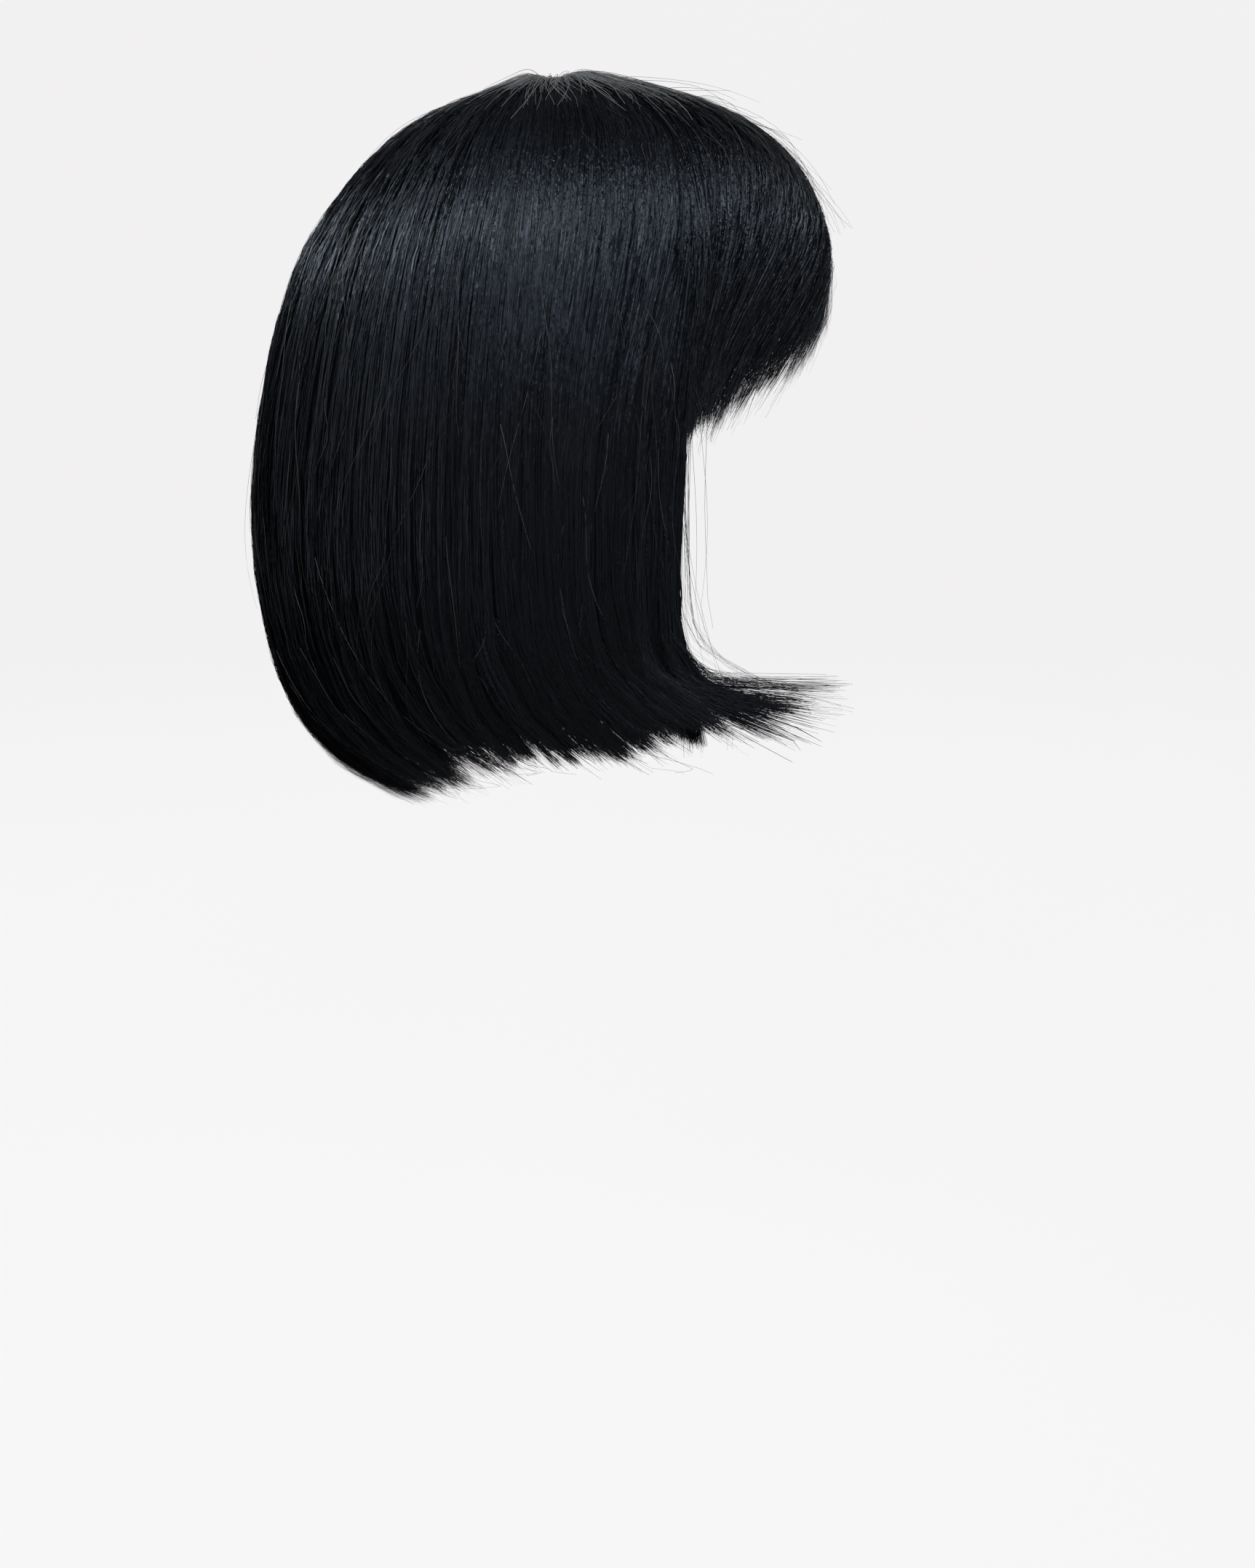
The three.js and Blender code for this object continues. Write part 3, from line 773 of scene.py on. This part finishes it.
def grown(section, rng, count, segments, kind, sizes):
    """A bundle of strands of a section. kind is surface, hem or inside."""
    across = (rng.permutation(count) + rng.random(count)) / count
    across = mixed(-section.from_behind, 1.0, across)
    clumps = max(3, int(section.breadth / sizes.clump_breadth))
    share = (across + section.from_behind) / (1 + section.from_behind)
    clump = np.clip(np.floor(share * clumps + rng.normal(0, 0.3, count)), 0, clumps - 1).astype(int)
    centre = (clump + rng.uniform(0.3, 0.7, clumps)[clump]) / clumps
    centre = mixed(-section.from_behind, 1.0, centre)
    along = np.linspace(0, 1, segments + 1)[None, :]
    near_hem = section.swept_across(mixed(across, centre, 0.6), 1.0)
    end = section.hem_ring(near_hem, HEM_TEETH, 0.0)
    end = end - np.abs(rng.normal(0, CLUMP_ENDS, clumps))[clump]
    end = end - np.abs(rng.normal(0, STRAND_ENDS, count))
    longer = rng.random(count) < LONGER_STRANDS
    end = end + np.where(longer, rng.uniform(0.0, LONGEST_EXTRA, count), 0)
    short = rng.random(count) < SHORTER_STRANDS
    end = end - np.where(short, rng.uniform(0.1, 1.0, count), 0)
    if kind == "surface":
        from_whorl = rng.random(count) < FROM_WHORL
        root = np.where(from_whorl, rng.uniform(-0.7, 0.9, count), rng.uniform(0.9, 6.0, count))
        lower = 1.5 * rng.random(count) * (section.top_ring > 0)
        root = np.maximum(root, section.top_ring - 0.8 + lower)
    elif kind == "hem":
        root = end - rng.uniform(1.6, 2.6, count)
    else:
        root = section.inside_ring + rng.uniform(0, 1.2, count)
        end = end - rng.uniform(0.1, 0.5, count)
    end = np.clip(end, root + 0.8, LAST_RING)
    ring = mixed(root[:, None], end[:, None], along)
    tightness = rng.uniform(0.2, 0.7, clumps)[clump][:, None]
    tightness = mixed(tightness, 1.0, 0.4 * section.hooked)
    gather = smooth_step(along, 0.25, 1.0) * tightness
    if kind == "hem":
        gather = mixed(0.25, 1.0, along) * tightness
    place = mixed(across[:, None], centre[:, None], gather)
    if section.swoop:
        slid = (ring - FRINGE_SLIDE_RING) / (end[:, None] - FRINGE_SLIDE_RING)
        place = section.swept_across(place, np.clip(slid, 0, 1) ** FRINGE_SLIDE_BEND)
    loose = np.clip(along * 3, 0, 1)
    wander = waves(rng, count, along, 0.8) * sizes.wander * loose
    wander = wander + waves(rng, clumps, along, 0.6)[clump] * sizes.wander * 1.1 * loose
    rise = waves(rng, count, along, 2.2) * sizes.unevenness
    rise = rise + waves(rng, clumps, along, 2.6)[clump] * sizes.unevenness * 1.5
    if kind == "surface":
        deep = rng.beta(1.1, 1.8, count)[:, None] * sizes.layer_depth
        deep = deep + sizes.layer_depth * 1.3 * np.exp(-along * 22)
        share = 0.0
    elif kind == "hem":
        deep = 0.0
        share = rng.random(count)[:, None] * np.ones_like(along)
    else:
        deep = -rng.uniform(0.0, 0.0012, count)[:, None]
        share = 1.0
    metres = np.maximum(deep - rise, HIGHEST_LIFT) if kind == "surface" else deep - rise * 0.6
    apart = 1 - 0.5 * section.hooked
    brushed = BRUSHED - 0.16 * section.hooked
    brushed = brushed + rng.normal(0, 0.11, clumps)[clump] * section.loose
    furthest = BRUSHED_MOST - 0.12 * section.hooked
    brushed = brushed + rng.normal(0, 0.06 * apart, count)
    brushed = np.clip(brushed, BRUSHED_LEAST, furthest)[:, None]
    upturn = rng.uniform(-0.4, 0.8, clumps)[clump] + rng.normal(0, 0.15 * apart, count)
    upturn = upturn[:, None] * sizes.upturn
    points, outward, sideways, _ = section.place(
        place, ring, (share, metres), brushed=brushed, upturn=upturn
    )
    points = points + sideways * wander[..., None]
    flick = smooth_step(along, 0.7, 1.0)[..., None] ** 1.5
    loose_tip = rng.normal(0, sizes.flick, (count, 1, 3)) * 0.6
    loose_tip = loose_tip + rng.normal(0, sizes.flick, (clumps, 1, 3))[clump]
    points = points + flick * loose_tip * (0.6 if kind == "inside" else section.loose)
    width = rng.lognormal(0.0, 0.35, count) * sizes.strand_width
    width = width[:, None] * mixed(0.7, 1.0, np.clip(along * 6, 0, 1))
    width = width * mixed(1.0, TIP_WIDTH, smooth_step(along, TAPERED_FROM, 1.0))
    roll = rng.normal(0, ROLL, (count, 1)) + 0.15 * waves(rng, count, along, 0.9)
    tone = np.clip(rng.beta(1.6, 2.6, count) + rng.normal(0, 0.08, clumps)[clump], 0.02, 0.98)
    facing = -1.0 if kind == "inside" else 1.0
    return ribbons(points, outward, width, tone, roll, facing)


def under_layer(section):
    """The closed wall of combed hair that fills a section behind its strands."""
    columns = section.locks * 4 + 1
    rows = section.rows * 2
    across = np.linspace(0, 1, columns)[None, :] * np.ones((rows, 1))
    full = mixed(section.filled, LAYER_FILLED, smooth_step(across, 0.4, 0.7))
    along = np.linspace(0, 1, rows)[:, None] * full
    ring = section.ring_at(along, section.hem_ring(across, 0.4, 0.2))
    thickness = section.place(across, ring, (0.0, 0.0))[3]
    sunk = np.minimum(LAYER_SINK, LAYER_SINK_SHARE * thickness)
    outer = section.place(across, ring, (0.0, sunk))[0]
    sunk = thickness - np.minimum(LAYER_INSET, LAYER_INSET_SHARE * thickness)
    inner = section.place(across, ring, (0.0, sunk))[0]
    corners = np.concatenate([outer.reshape(-1, 3), inner.reshape(-1, 3)])
    number = np.arange(rows * columns).reshape(rows, columns)
    behind = number + rows * columns
    a, b, c, d = number[:-1, :-1], number[1:, :-1], number[1:, 1:], number[:-1, 1:]
    faces = [np.stack([a, d, c, b], -1).reshape(-1, 4)]
    a, b, c, d = behind[:-1, :-1], behind[1:, :-1], behind[1:, 1:], behind[:-1, 1:]
    faces.append(np.stack([a, b, c, d], -1).reshape(-1, 4))
    for edge, back in ((number[:, 0], behind[:, 0]), (number[::-1, -1], behind[::-1, -1])):
        faces.append(np.stack([edge[:-1], edge[1:], back[1:], back[:-1]], -1))
    for edge, back in ((number[0, ::-1], behind[0, ::-1]), (number[-1], behind[-1])):
        faces.append(np.stack([edge[:-1], edge[1:], back[1:], back[:-1]], -1))
    places = np.stack([across * section.breadth / 0.26, along], -1).reshape(-1, 2)
    return corners, np.concatenate(faces), np.concatenate([places, places])


def form_line(azimuth, ring, lift):
    """Points on the outer form, brushed forward as the strands are, and lifted off it."""
    middle, outward, reach, _ = wall_at(azimuth, ring)
    points = middle + outward * (reach + lift)[..., None]
    azimuth = np.where(azimuth < -60, azimuth + 360, azimuth)
    azimuth = np.where(azimuth > 300, azimuth - 360, azimuth)
    points[..., 1] -= swept_forward(azimuth, ring_height(np.maximum(ring, 0)))
    return points


def lowest_ring(azimuth):
    """The ring where the hair ends, at the brow or hanging."""
    hem = by_azimuth(HANGING_HEM, np.maximum(azimuth, 61))
    return np.where(azimuth < 61, 7.6, ring_at_height(hem_height(hem)))


HAIR_ALONG = np.linspace(0, 1, 13)[None, :]
FRINGE_TURNS = (-58, 59)
HANGING_TURNS = (62, 298)


def kept_apart(azimuth, turn):
    """Keeps a hair that wanders on its own side of the edge beside the face."""
    return np.where(azimuth < 61, np.clip(turn, *FRINGE_TURNS), np.clip(turn, *HANGING_TURNS))


def stray_hairs(rng, count):
    """Loose hairs that leave the surface and come back or end in the air."""
    along = HAIR_ALONG
    azimuth = rng.uniform(-58, 298, count)[:, None]
    lowest = lowest_ring(azimuth) - 0.3
    root = rng.uniform(0.0, 1.0, count)[:, None] ** 0.8 * (lowest - 1.0) + 0.2
    ring = np.minimum(root + rng.uniform(1.0, 4.0, count)[:, None] * along, lowest + 0.4 * along)
    lift = rng.gamma(1.3, 0.0006, count)[:, None]
    lift = np.where(rng.random((count, 1)) < 0.1, rng.uniform(0.002, 0.0055, (count, 1)), lift)
    lift = lift * np.sin(math.pi * rng.uniform(0.5, 0.95, (count, 1)) * along) - 0.0004
    lift = lift * np.clip(root / 2.5, 0.1, 1)
    turn = azimuth + waves(rng, count, along, 0.7) * 5.0 * along
    turn = np.where(azimuth < 61, np.clip(turn, -59, 60), np.clip(turn, 61, 299))
    return form_line(turn, ring, lift), rng.uniform(0.3, 0.95, count)


def crossing_hairs(rng, count):
    """Fine hairs that lie on the combed surface at a slant."""
    along = HAIR_ALONG
    azimuth = rng.uniform(-50, 290, count)[:, None]
    lowest = lowest_ring(azimuth) - 0.4
    root = rng.uniform(0.5, 1.0, count)[:, None] * (lowest - 1.5)
    ring = np.minimum(root + rng.uniform(0.8, 3.0, count)[:, None] * along, lowest)
    slant = rng.normal(0, 6.0, (count, 1)) * along + waves(rng, count, along, 0.5) * 1.5
    lift = rng.uniform(-0.0002, 0.0005, (count, 1)) * np.ones_like(along)
    turn = azimuth + slant
    return form_line(kept_apart(azimuth, turn), ring, lift), rng.uniform(0.15, 0.4, count)


def whorl_hairs(rng, count):
    """Short fine hairs round the crown whorl. Their light tones of the fine-hair colour are a
    painted sheen for the light that the crown catches.
    """
    along = HAIR_ALONG
    facing = np.where(rng.random(count) < 0.5, 80.0, -100.0)
    azimuth = (facing + rng.normal(0, 26, count))[:, None]
    azimuth = np.where(rng.random((count, 1)) < 0.3, rng.uniform(0, 360, (count, 1)), azimuth)
    root = rng.uniform(-0.9, 0.6, count)[:, None]
    ring = root + rng.uniform(1.8, 4.8, count)[:, None] * along
    lift = rng.gamma(1.2, 0.0003, (count, 1)) * np.sin(math.pi * 0.8 * along) + 0.0006
    turn = azimuth + waves(rng, count, along, 0.6) * 5.0 * along
    # Tones near the light fine-hair colour: painted sheen at the whorl
    return form_line(turn, ring, lift), rng.uniform(0.6, 0.98, count)


def flyaways(rng, count):
    """Single hairs that stand well off the outline."""
    along = HAIR_ALONG
    azimuth = rng.choice([rng.uniform(140, 215, count), rng.uniform(-40, 40, count)])[:, None]
    azimuth = np.where(rng.random((count, 1)) < 0.3, rng.uniform(62, 130, (count, 1)), azimuth)
    lowest = lowest_ring(azimuth)
    root = rng.uniform(0.25, 0.85, (count, 1)) * lowest
    end = np.minimum(root + rng.uniform(1.5, 4.0, (count, 1)), lowest + 0.2)
    ring = mixed(root, end, along)
    lift = rng.uniform(0.003, 0.0115, (count, 1)) * along ** rng.uniform(0.8, 2.4, (count, 1))
    bent = rng.random((count, 1)) < 0.5
    lift = np.where(bent, lift * np.sin(math.pi * np.clip(along, 0, 0.93)) * 1.2, lift)
    turn = azimuth + (waves(rng, count, along, 0.5) + rng.normal(0, 0.6, (count, 1))) * 5.0 * along
    return form_line(kept_apart(azimuth, turn), ring, lift), rng.uniform(0.02, 0.2, count)


def face_hairs(rng, count):
    """Single hairs that hang in front of the edge of the hair beside the face."""
    along = HAIR_ALONG
    side = np.where(rng.random((count, 1)) < 0.75, 60.0, 300.0)
    root = rng.uniform(8.0, 11.0, (count, 1))
    end = lowest_ring(np.where(side < 180, 62.0, 298.0)) - rng.uniform(-0.1, 1.2, (count, 1))
    ring = root + (end - root) * along
    points = form_line(side * np.ones_like(along), ring, -0.001 - 0.002 * rng.random((count, 1)))
    bow = np.sin(math.pi * rng.uniform(0.55, 1.0, (count, 1)) * along)
    reach = rng.gamma(1.4, 0.0035, (count, 1))
    points[..., 1] -= np.minimum(reach, 0.018) * bow * (1 + 0.3 * waves(rng, count, along, 0.5))
    points[..., 0] += np.sign(side - 180) * -0.002 * bow * rng.uniform(-1, 1, (count, 1))
    return points, rng.uniform(0.4, 0.95, count)


def length_setting(name, description, default, least=None, digits=5):
    """A length that can be set in the panel."""
    limits = {} if least is None else {"min": least}
    return FloatProperty(
        name=name,
        description=description,
        default=default,
        precision=digits,
        unit="LENGTH",
        **limits,
    )


def colour_setting(name, description, default):
    """A colour that can be set in the panel."""
    return FloatVectorProperty(
        name=name, description=description, subtype="COLOR", default=default
    )


class WigSizes(bpy.types.PropertyGroup):
    strand_width: length_setting("Strand width", "Middle width of a flat strand", 0.0004, 0.0001)
    layer_depth: length_setting(
        "Layer depth", "How deep the outermost strands lie over each other", 0.0017
    )
    clump_breadth: length_setting(
        "Clump breadth", "How broad a group of strands is that runs together", 0.0024, 0.0005
    )
    wander: length_setting("Wander", "How far a strand strays from its combed line", 0.0009)
    unevenness: length_setting(
        "Unevenness", "How far a strand rises and sinks along its way", 0.00055
    )
    flick: length_setting("Loose ends", "How far a strand's tip strays", 0.0016)
    upturn: length_setting("Upturn", "How far the ends beside the face turn up", 0.018)
    hair_radius: length_setting("Single hair radius", "Radius of a stray hair", 0.00009, digits=6)
    density: IntProperty(
        name="Strands",
        description="Strands to each hundred millimetres of a section's breadth",
        default=3000,
        min=100,
    )
    floor_height: length_setting("Floor height", "Height of the floor under the wig", -0.60)


class WigColours(bpy.types.PropertyGroup):
    deep: colour_setting("Deep strands", "Colour of the darkest strands", (0.0018, 0.0020, 0.0026))
    light: colour_setting("Light strands", "Colour of the lightest strands", (0.006, 0.0066, 0.0082))
    tip: colour_setting("Tips", "Colour of the strands' tips", (0.012, 0.0115, 0.0115))
    # The fine-hair colour is a painted sheen: its lightness stands in for light caught by fine hairs
    # at the whorl and the outline
    fine: colour_setting("Fine hairs", "Colour of the lightest single hairs", (0.26, 0.26, 0.265))
    sheen: colour_setting("Shine", "Tint of the shine on the strands", (0.73, 0.83, 1.0))
    net: colour_setting("Net", "Colour of the cap's net", (0.02, 0.019, 0.019))
    net_shadow: colour_setting(
        "Net shadow", "Colour between the net's threads", (0.006, 0.0055, 0.0055)
    )
    floor: colour_setting("Floor", "Colour of the floor", (0.15, 0.15, 0.15))


def hair_material(context):
    return finish_named("black_hair", strand_finish, context.scene.wig_colours, STRAND_GLOSS)


# The kinds of strands, and how many pieces a strand of each has
KINDS = (("surface", 15), ("hem", 8), ("inside", 8))


def grow_section(context, section, shares):
    """Grows a section's strands, with so many of each kind, and the layer under them."""
    sizes = context.scene.wig_sizes
    colours = context.scene.wig_colours
    rng = np.random.default_rng(section.seed)
    per_breadth = sizes.density * section.breadth / 0.1
    bundles = [
        grown(section, rng, int(per_breadth * share), segments, kind, sizes)
        for share, (kind, segments) in zip(shares, KINDS)
        if share
    ]
    joined(section.node + "_strands", bundles, hair_material(context), [section.node])
    under = finish_named("combed_under_hair", under_finish, colours)
    joined(section.node + "_under", [under_layer(section)], under, [section.node], "Comb")


COOL = (0.93, 0.97, 1.0)
BLUE = (0.88, 0.94, 1.0)
STRIP = (0.74, 0.24)
STRIP_POWER = 1.04
LIT_POINT = (0.0, 0.02, -0.08)

# Name, turn from the camera's side, lift, distance, size, power and tint of each lamp
LAMPS = [
    ("low_light", -10, 27, 1.5, (1.7, 0.6), 2.9, BLUE),
    ("fill_light", -78, 6, 1.6, (0.8, 1.4), 1.5, COOL),
    ("ring_light_0", 0, 43.5, 1.3, STRIP, 1.2 * STRIP_POWER, COOL),
    ("ring_light_38", 38, 42, 1.3, STRIP, 1.2 * STRIP_POWER, COOL),
    ("ring_light_-38", -38, 42, 1.3, STRIP, 1.5 * STRIP_POWER, COOL),
    ("ring_light_74", 74, 36, 1.3, STRIP, 1.3 * STRIP_POWER, BLUE),
    ("ring_light_-74", -74, 36, 1.3, STRIP, 1.9 * STRIP_POWER, BLUE),
    ("ring_light_110", 110, 26, 1.3, STRIP, 1.5 * STRIP_POWER, BLUE),
    ("ring_light_-110", -110, 26, 1.3, STRIP, 2.2 * STRIP_POWER, BLUE),
    ("rear_light", 180, 20, 1.4, (1.0, 0.5), 2.0, COOL),
]

CAMERA_PLACE = (-0.678, -0.024, -0.059)
CAMERA_PITCH = 17.7
CAMERA_LENS = 36.7
CAMERA_SENSOR = 36.0
FLOOR_RADIUS = 1.8
FLOOR_BEND = 1.6
FLOOR_BEND_STEPS = 9
FLOOR_BEND_TURN = 10
WALL_HEIGHT = 3.0
FLOOR_GLOW = 0.78


class WIG_OT_stage(bpy.types.Operator):
    """Makes the floor, the lights and the camera"""

    bl_idname = "wig.stage"
    bl_label = "Stage"

    def execute(self, context):
        sizes = context.scene.wig_sizes
        colours = context.scene.wig_colours
        bpy.ops.object.select_all(action="DESELECT")
        bpy.ops.mesh.primitive_circle_add(
            vertices=128,
            radius=FLOOR_RADIUS,
            fill_type="NGON",
            location=(0, 0, sizes.floor_height),
        )
        floor = context.object
        floor.name = "floor"
        bpy.ops.object.mode_set(mode="EDIT")
        bpy.ops.mesh.select_all(action="SELECT")
        bpy.ops.mesh.normals_make_consistent(inside=False)
        reach = FLOOR_RADIUS
        for step in range(1, FLOOR_BEND_STEPS + 1):
            angle = math.radians(FLOOR_BEND_TURN * step)
            before = angle - math.radians(FLOOR_BEND_TURN)
            wider = FLOOR_RADIUS + FLOOR_BEND * math.sin(angle)
            climb = FLOOR_BEND * (math.cos(before) - math.cos(angle))
            bpy.ops.mesh.extrude_region_move(TRANSFORM_OT_translate={"value": (0, 0, climb)})
            bpy.ops.transform.resize(value=(wider / reach, wider / reach, 1))
            reach = wider
        bpy.ops.mesh.extrude_region_move(TRANSFORM_OT_translate={"value": (0, 0, WALL_HEIGHT)})
        bpy.ops.mesh.delete(type="ONLY_FACE")
        bpy.ops.object.mode_set(mode="OBJECT")
        bpy.ops.object.transform_apply(location=True, rotation=True, scale=True)
        floor.data.shade_smooth()
        finish = Finish("pale_floor")
        place = finish.node("ShaderNodeTexCoord")
        grain = finish.noise(place.outputs["Object"], 3.0)
        darker, lighter = ([part * share for part in colours.floor] for share in (0.97, 1.03))
        floor.data.materials.clear()
        floor.data.materials.append(
            finish.surface(
                Base_Color=finish.blend(grain, darker, lighter),
                Roughness=0.9,
                Emission_Color=(1.0, 0.985, 0.995, 1.0),
                Emission_Strength=FLOOR_GLOW,
            )
        )
        floor.visible_glossy = False

        world = context.scene.world or bpy.data.worlds.new("studio")
        context.scene.world = world
        world.use_nodes = True
        sky = world.node_tree.nodes["Background"]
        sky.inputs["Color"].default_value = (0.86, 0.93, 1.0, 1.0)
        sky.inputs["Strength"].default_value = 0.05

        for name, turn, lift, distance, (breadth, height), power, tint in LAMPS:
            turned = math.radians(turn)
            lifted = math.radians(lift)
            flat = distance * math.cos(lifted)
            place = (
                LIT_POINT[0] - flat * math.cos(turned),
                LIT_POINT[1] - flat * math.sin(turned),
                LIT_POINT[2] + distance * math.sin(lifted),
            )
            lamp = bpy.data.lights.new(name, "AREA")
            lamp.shape = "RECTANGLE"
            lamp.size = breadth
            lamp.size_y = height
            lamp.energy = power
            lamp.color = tint
            holder = bpy.data.objects.new(name, lamp)
            context.scene.collection.objects.link(holder)
            holder.location = place
            aim = Vector(LIT_POINT) - Vector(place)
            holder.rotation_euler = aim.to_track_quat("-Z", "Y").to_euler()
            holder.visible_camera = False

        view = bpy.data.cameras.new("camera")
        view.lens = CAMERA_LENS
        view.sensor_width = CAMERA_SENSOR
        view.clip_start = 0.01
        view.clip_end = 50.0
        camera = bpy.data.objects.new("camera", view)
        context.scene.collection.objects.link(camera)
        camera.location = CAMERA_PLACE
        camera.rotation_euler = (math.radians(90 - CAMERA_PITCH), 0.0, math.radians(-90))
        context.scene.camera = camera
        context.scene.view_settings.view_transform = "Standard"
        return {"FINISHED"}


class WIG_OT_cap(bpy.types.Operator):
    """Gives the cap its knitted net"""

    bl_idname = "wig.cap"
    bl_label = "Cap"

    def execute(self, context):
        net = finish_named("cap_net", net_finish, context.scene.wig_colours)
        cap = bpy.data.objects.get("cap")
        if cap is None:
            raise RuntimeError("the cap's solid is missing")
        for slot in cap.material_slots:
            slot.material = net
        if not cap.material_slots:
            cap.data.materials.append(net)
        return {"FINISHED"}


class WIG_OT_fringe(bpy.types.Operator):
    """Grows the side-swept fringe"""

    bl_idname = "wig.fringe"
    bl_label = "Fringe"

    def execute(self, context):
        grow_section(context, FRINGE_SECTION, (0.8, 0.2, 0.08))
        return {"FINISHED"}


class WIG_OT_sides(bpy.types.Operator):
    """Grows the hair at the two sides"""

    bl_idname = "wig.sides"
    bl_label = "Side hair"

    def execute(self, context):
        for section in (RIGHT_SECTION, LEFT_SECTION):
            grow_section(context, section, (1.9, 0.7, 0.25))
        return {"FINISHED"}


class WIG_OT_back(bpy.types.Operator):
    """Grows the hair at the back"""

    bl_idname = "wig.back"
    bl_label = "Back hair"

    def execute(self, context):
        grow_section(context, BACK_SECTION, (0.62, 0.26, 0.08))
        return {"FINISHED"}


class WIG_OT_face_locks(bpy.types.Operator):
    """Grows the two locks that frame the face"""

    bl_idname = "wig.face_locks"
    bl_label = "Face locks"

    def execute(self, context):
        for section in (RIGHT_FACE_SECTION, LEFT_FACE_SECTION):
            grow_section(context, section, (1.8, 0.9, 0.3))
        return {"FINISHED"}


class WIG_OT_nape(bpy.types.Operator):
    """Grows the layer at the nape"""

    bl_idname = "wig.nape"
    bl_label = "Nape hair"

    def execute(self, context):
        grow_section(context, NAPE_SECTION, (0, 0.35, 0.25))
        return {"FINISHED"}


class WIG_OT_strays(bpy.types.Operator):
    """Lays the single hairs that stand off the surface"""

    bl_idname = "wig.strays"
    bl_label = "Stray hairs"

    def execute(self, context):
        sizes = context.scene.wig_sizes
        rng = np.random.default_rng(21)
        # The fine hairs take the light fine-hair colour, a painted sheen
        fine = finish_named("fine_hair", fine_sheen_finish, context.scene.wig_colours)
        strays = ((stray_hairs, 420, 1.0), (face_hairs, 26, 1.0))
        fines = ((crossing_hairs, 260, 1.0), (whorl_hairs, 640, 1.6), (flyaways, 70, 0.9))
        for name, material, parts in (
            ("stray_hairs", hair_material(context), strays),
            ("fine_hairs", fine, fines),
        ):
            bundles = []
            for grow, count, thicker in parts:
                points, tone = grow(rng, count)
                thinning = mixed(1.0, 0.4, np.linspace(0, 1, points.shape[1]))[None, :]
                radius = sizes.hair_radius * thicker * thinning
                radius = radius * rng.uniform(0.75, 1.25, (count, 1))
                bundles.append(threads(points, radius, tone))
            joined(name, bundles, material, [])
        return {"FINISHED"}


class WIG_PT_panel(bpy.types.Panel):
    """Lists the wig's pieces"""

    bl_idname = "WIG_PT_panel"
    bl_label = "Bob wig"
    bl_space_type = "VIEW_3D"
    bl_region_type = "UI"
    bl_category = "Wig"

    def draw(self, context):
        for group in (context.scene.wig_sizes, context.scene.wig_colours):
            for name in group.__annotations__:
                self.layout.prop(group, name)
        for step in STEPS:
            self.layout.operator(step.bl_idname)


STEPS = (
    WIG_OT_stage,
    WIG_OT_cap,
    WIG_OT_fringe,
    WIG_OT_sides,
    WIG_OT_back,
    WIG_OT_face_locks,
    WIG_OT_nape,
    WIG_OT_strays,
)


def register():
    for made in (WigSizes, WigColours, *STEPS, WIG_PT_panel):
        bpy.utils.register_class(made)
    bpy.types.Scene.wig_sizes = PointerProperty(type=WigSizes)
    bpy.types.Scene.wig_colours = PointerProperty(type=WigColours)


def unregister():
    del bpy.types.Scene.wig_colours
    del bpy.types.Scene.wig_sizes
    for made in reversed((WigSizes, WigColours, *STEPS, WIG_PT_panel)):
        bpy.utils.unregister_class(made)


def main():
    register()
    for step in STEPS:
        group, name = step.bl_idname.split(".")
        getattr(getattr(bpy.ops, group), name)()


if __name__ == "__main__":
    main()
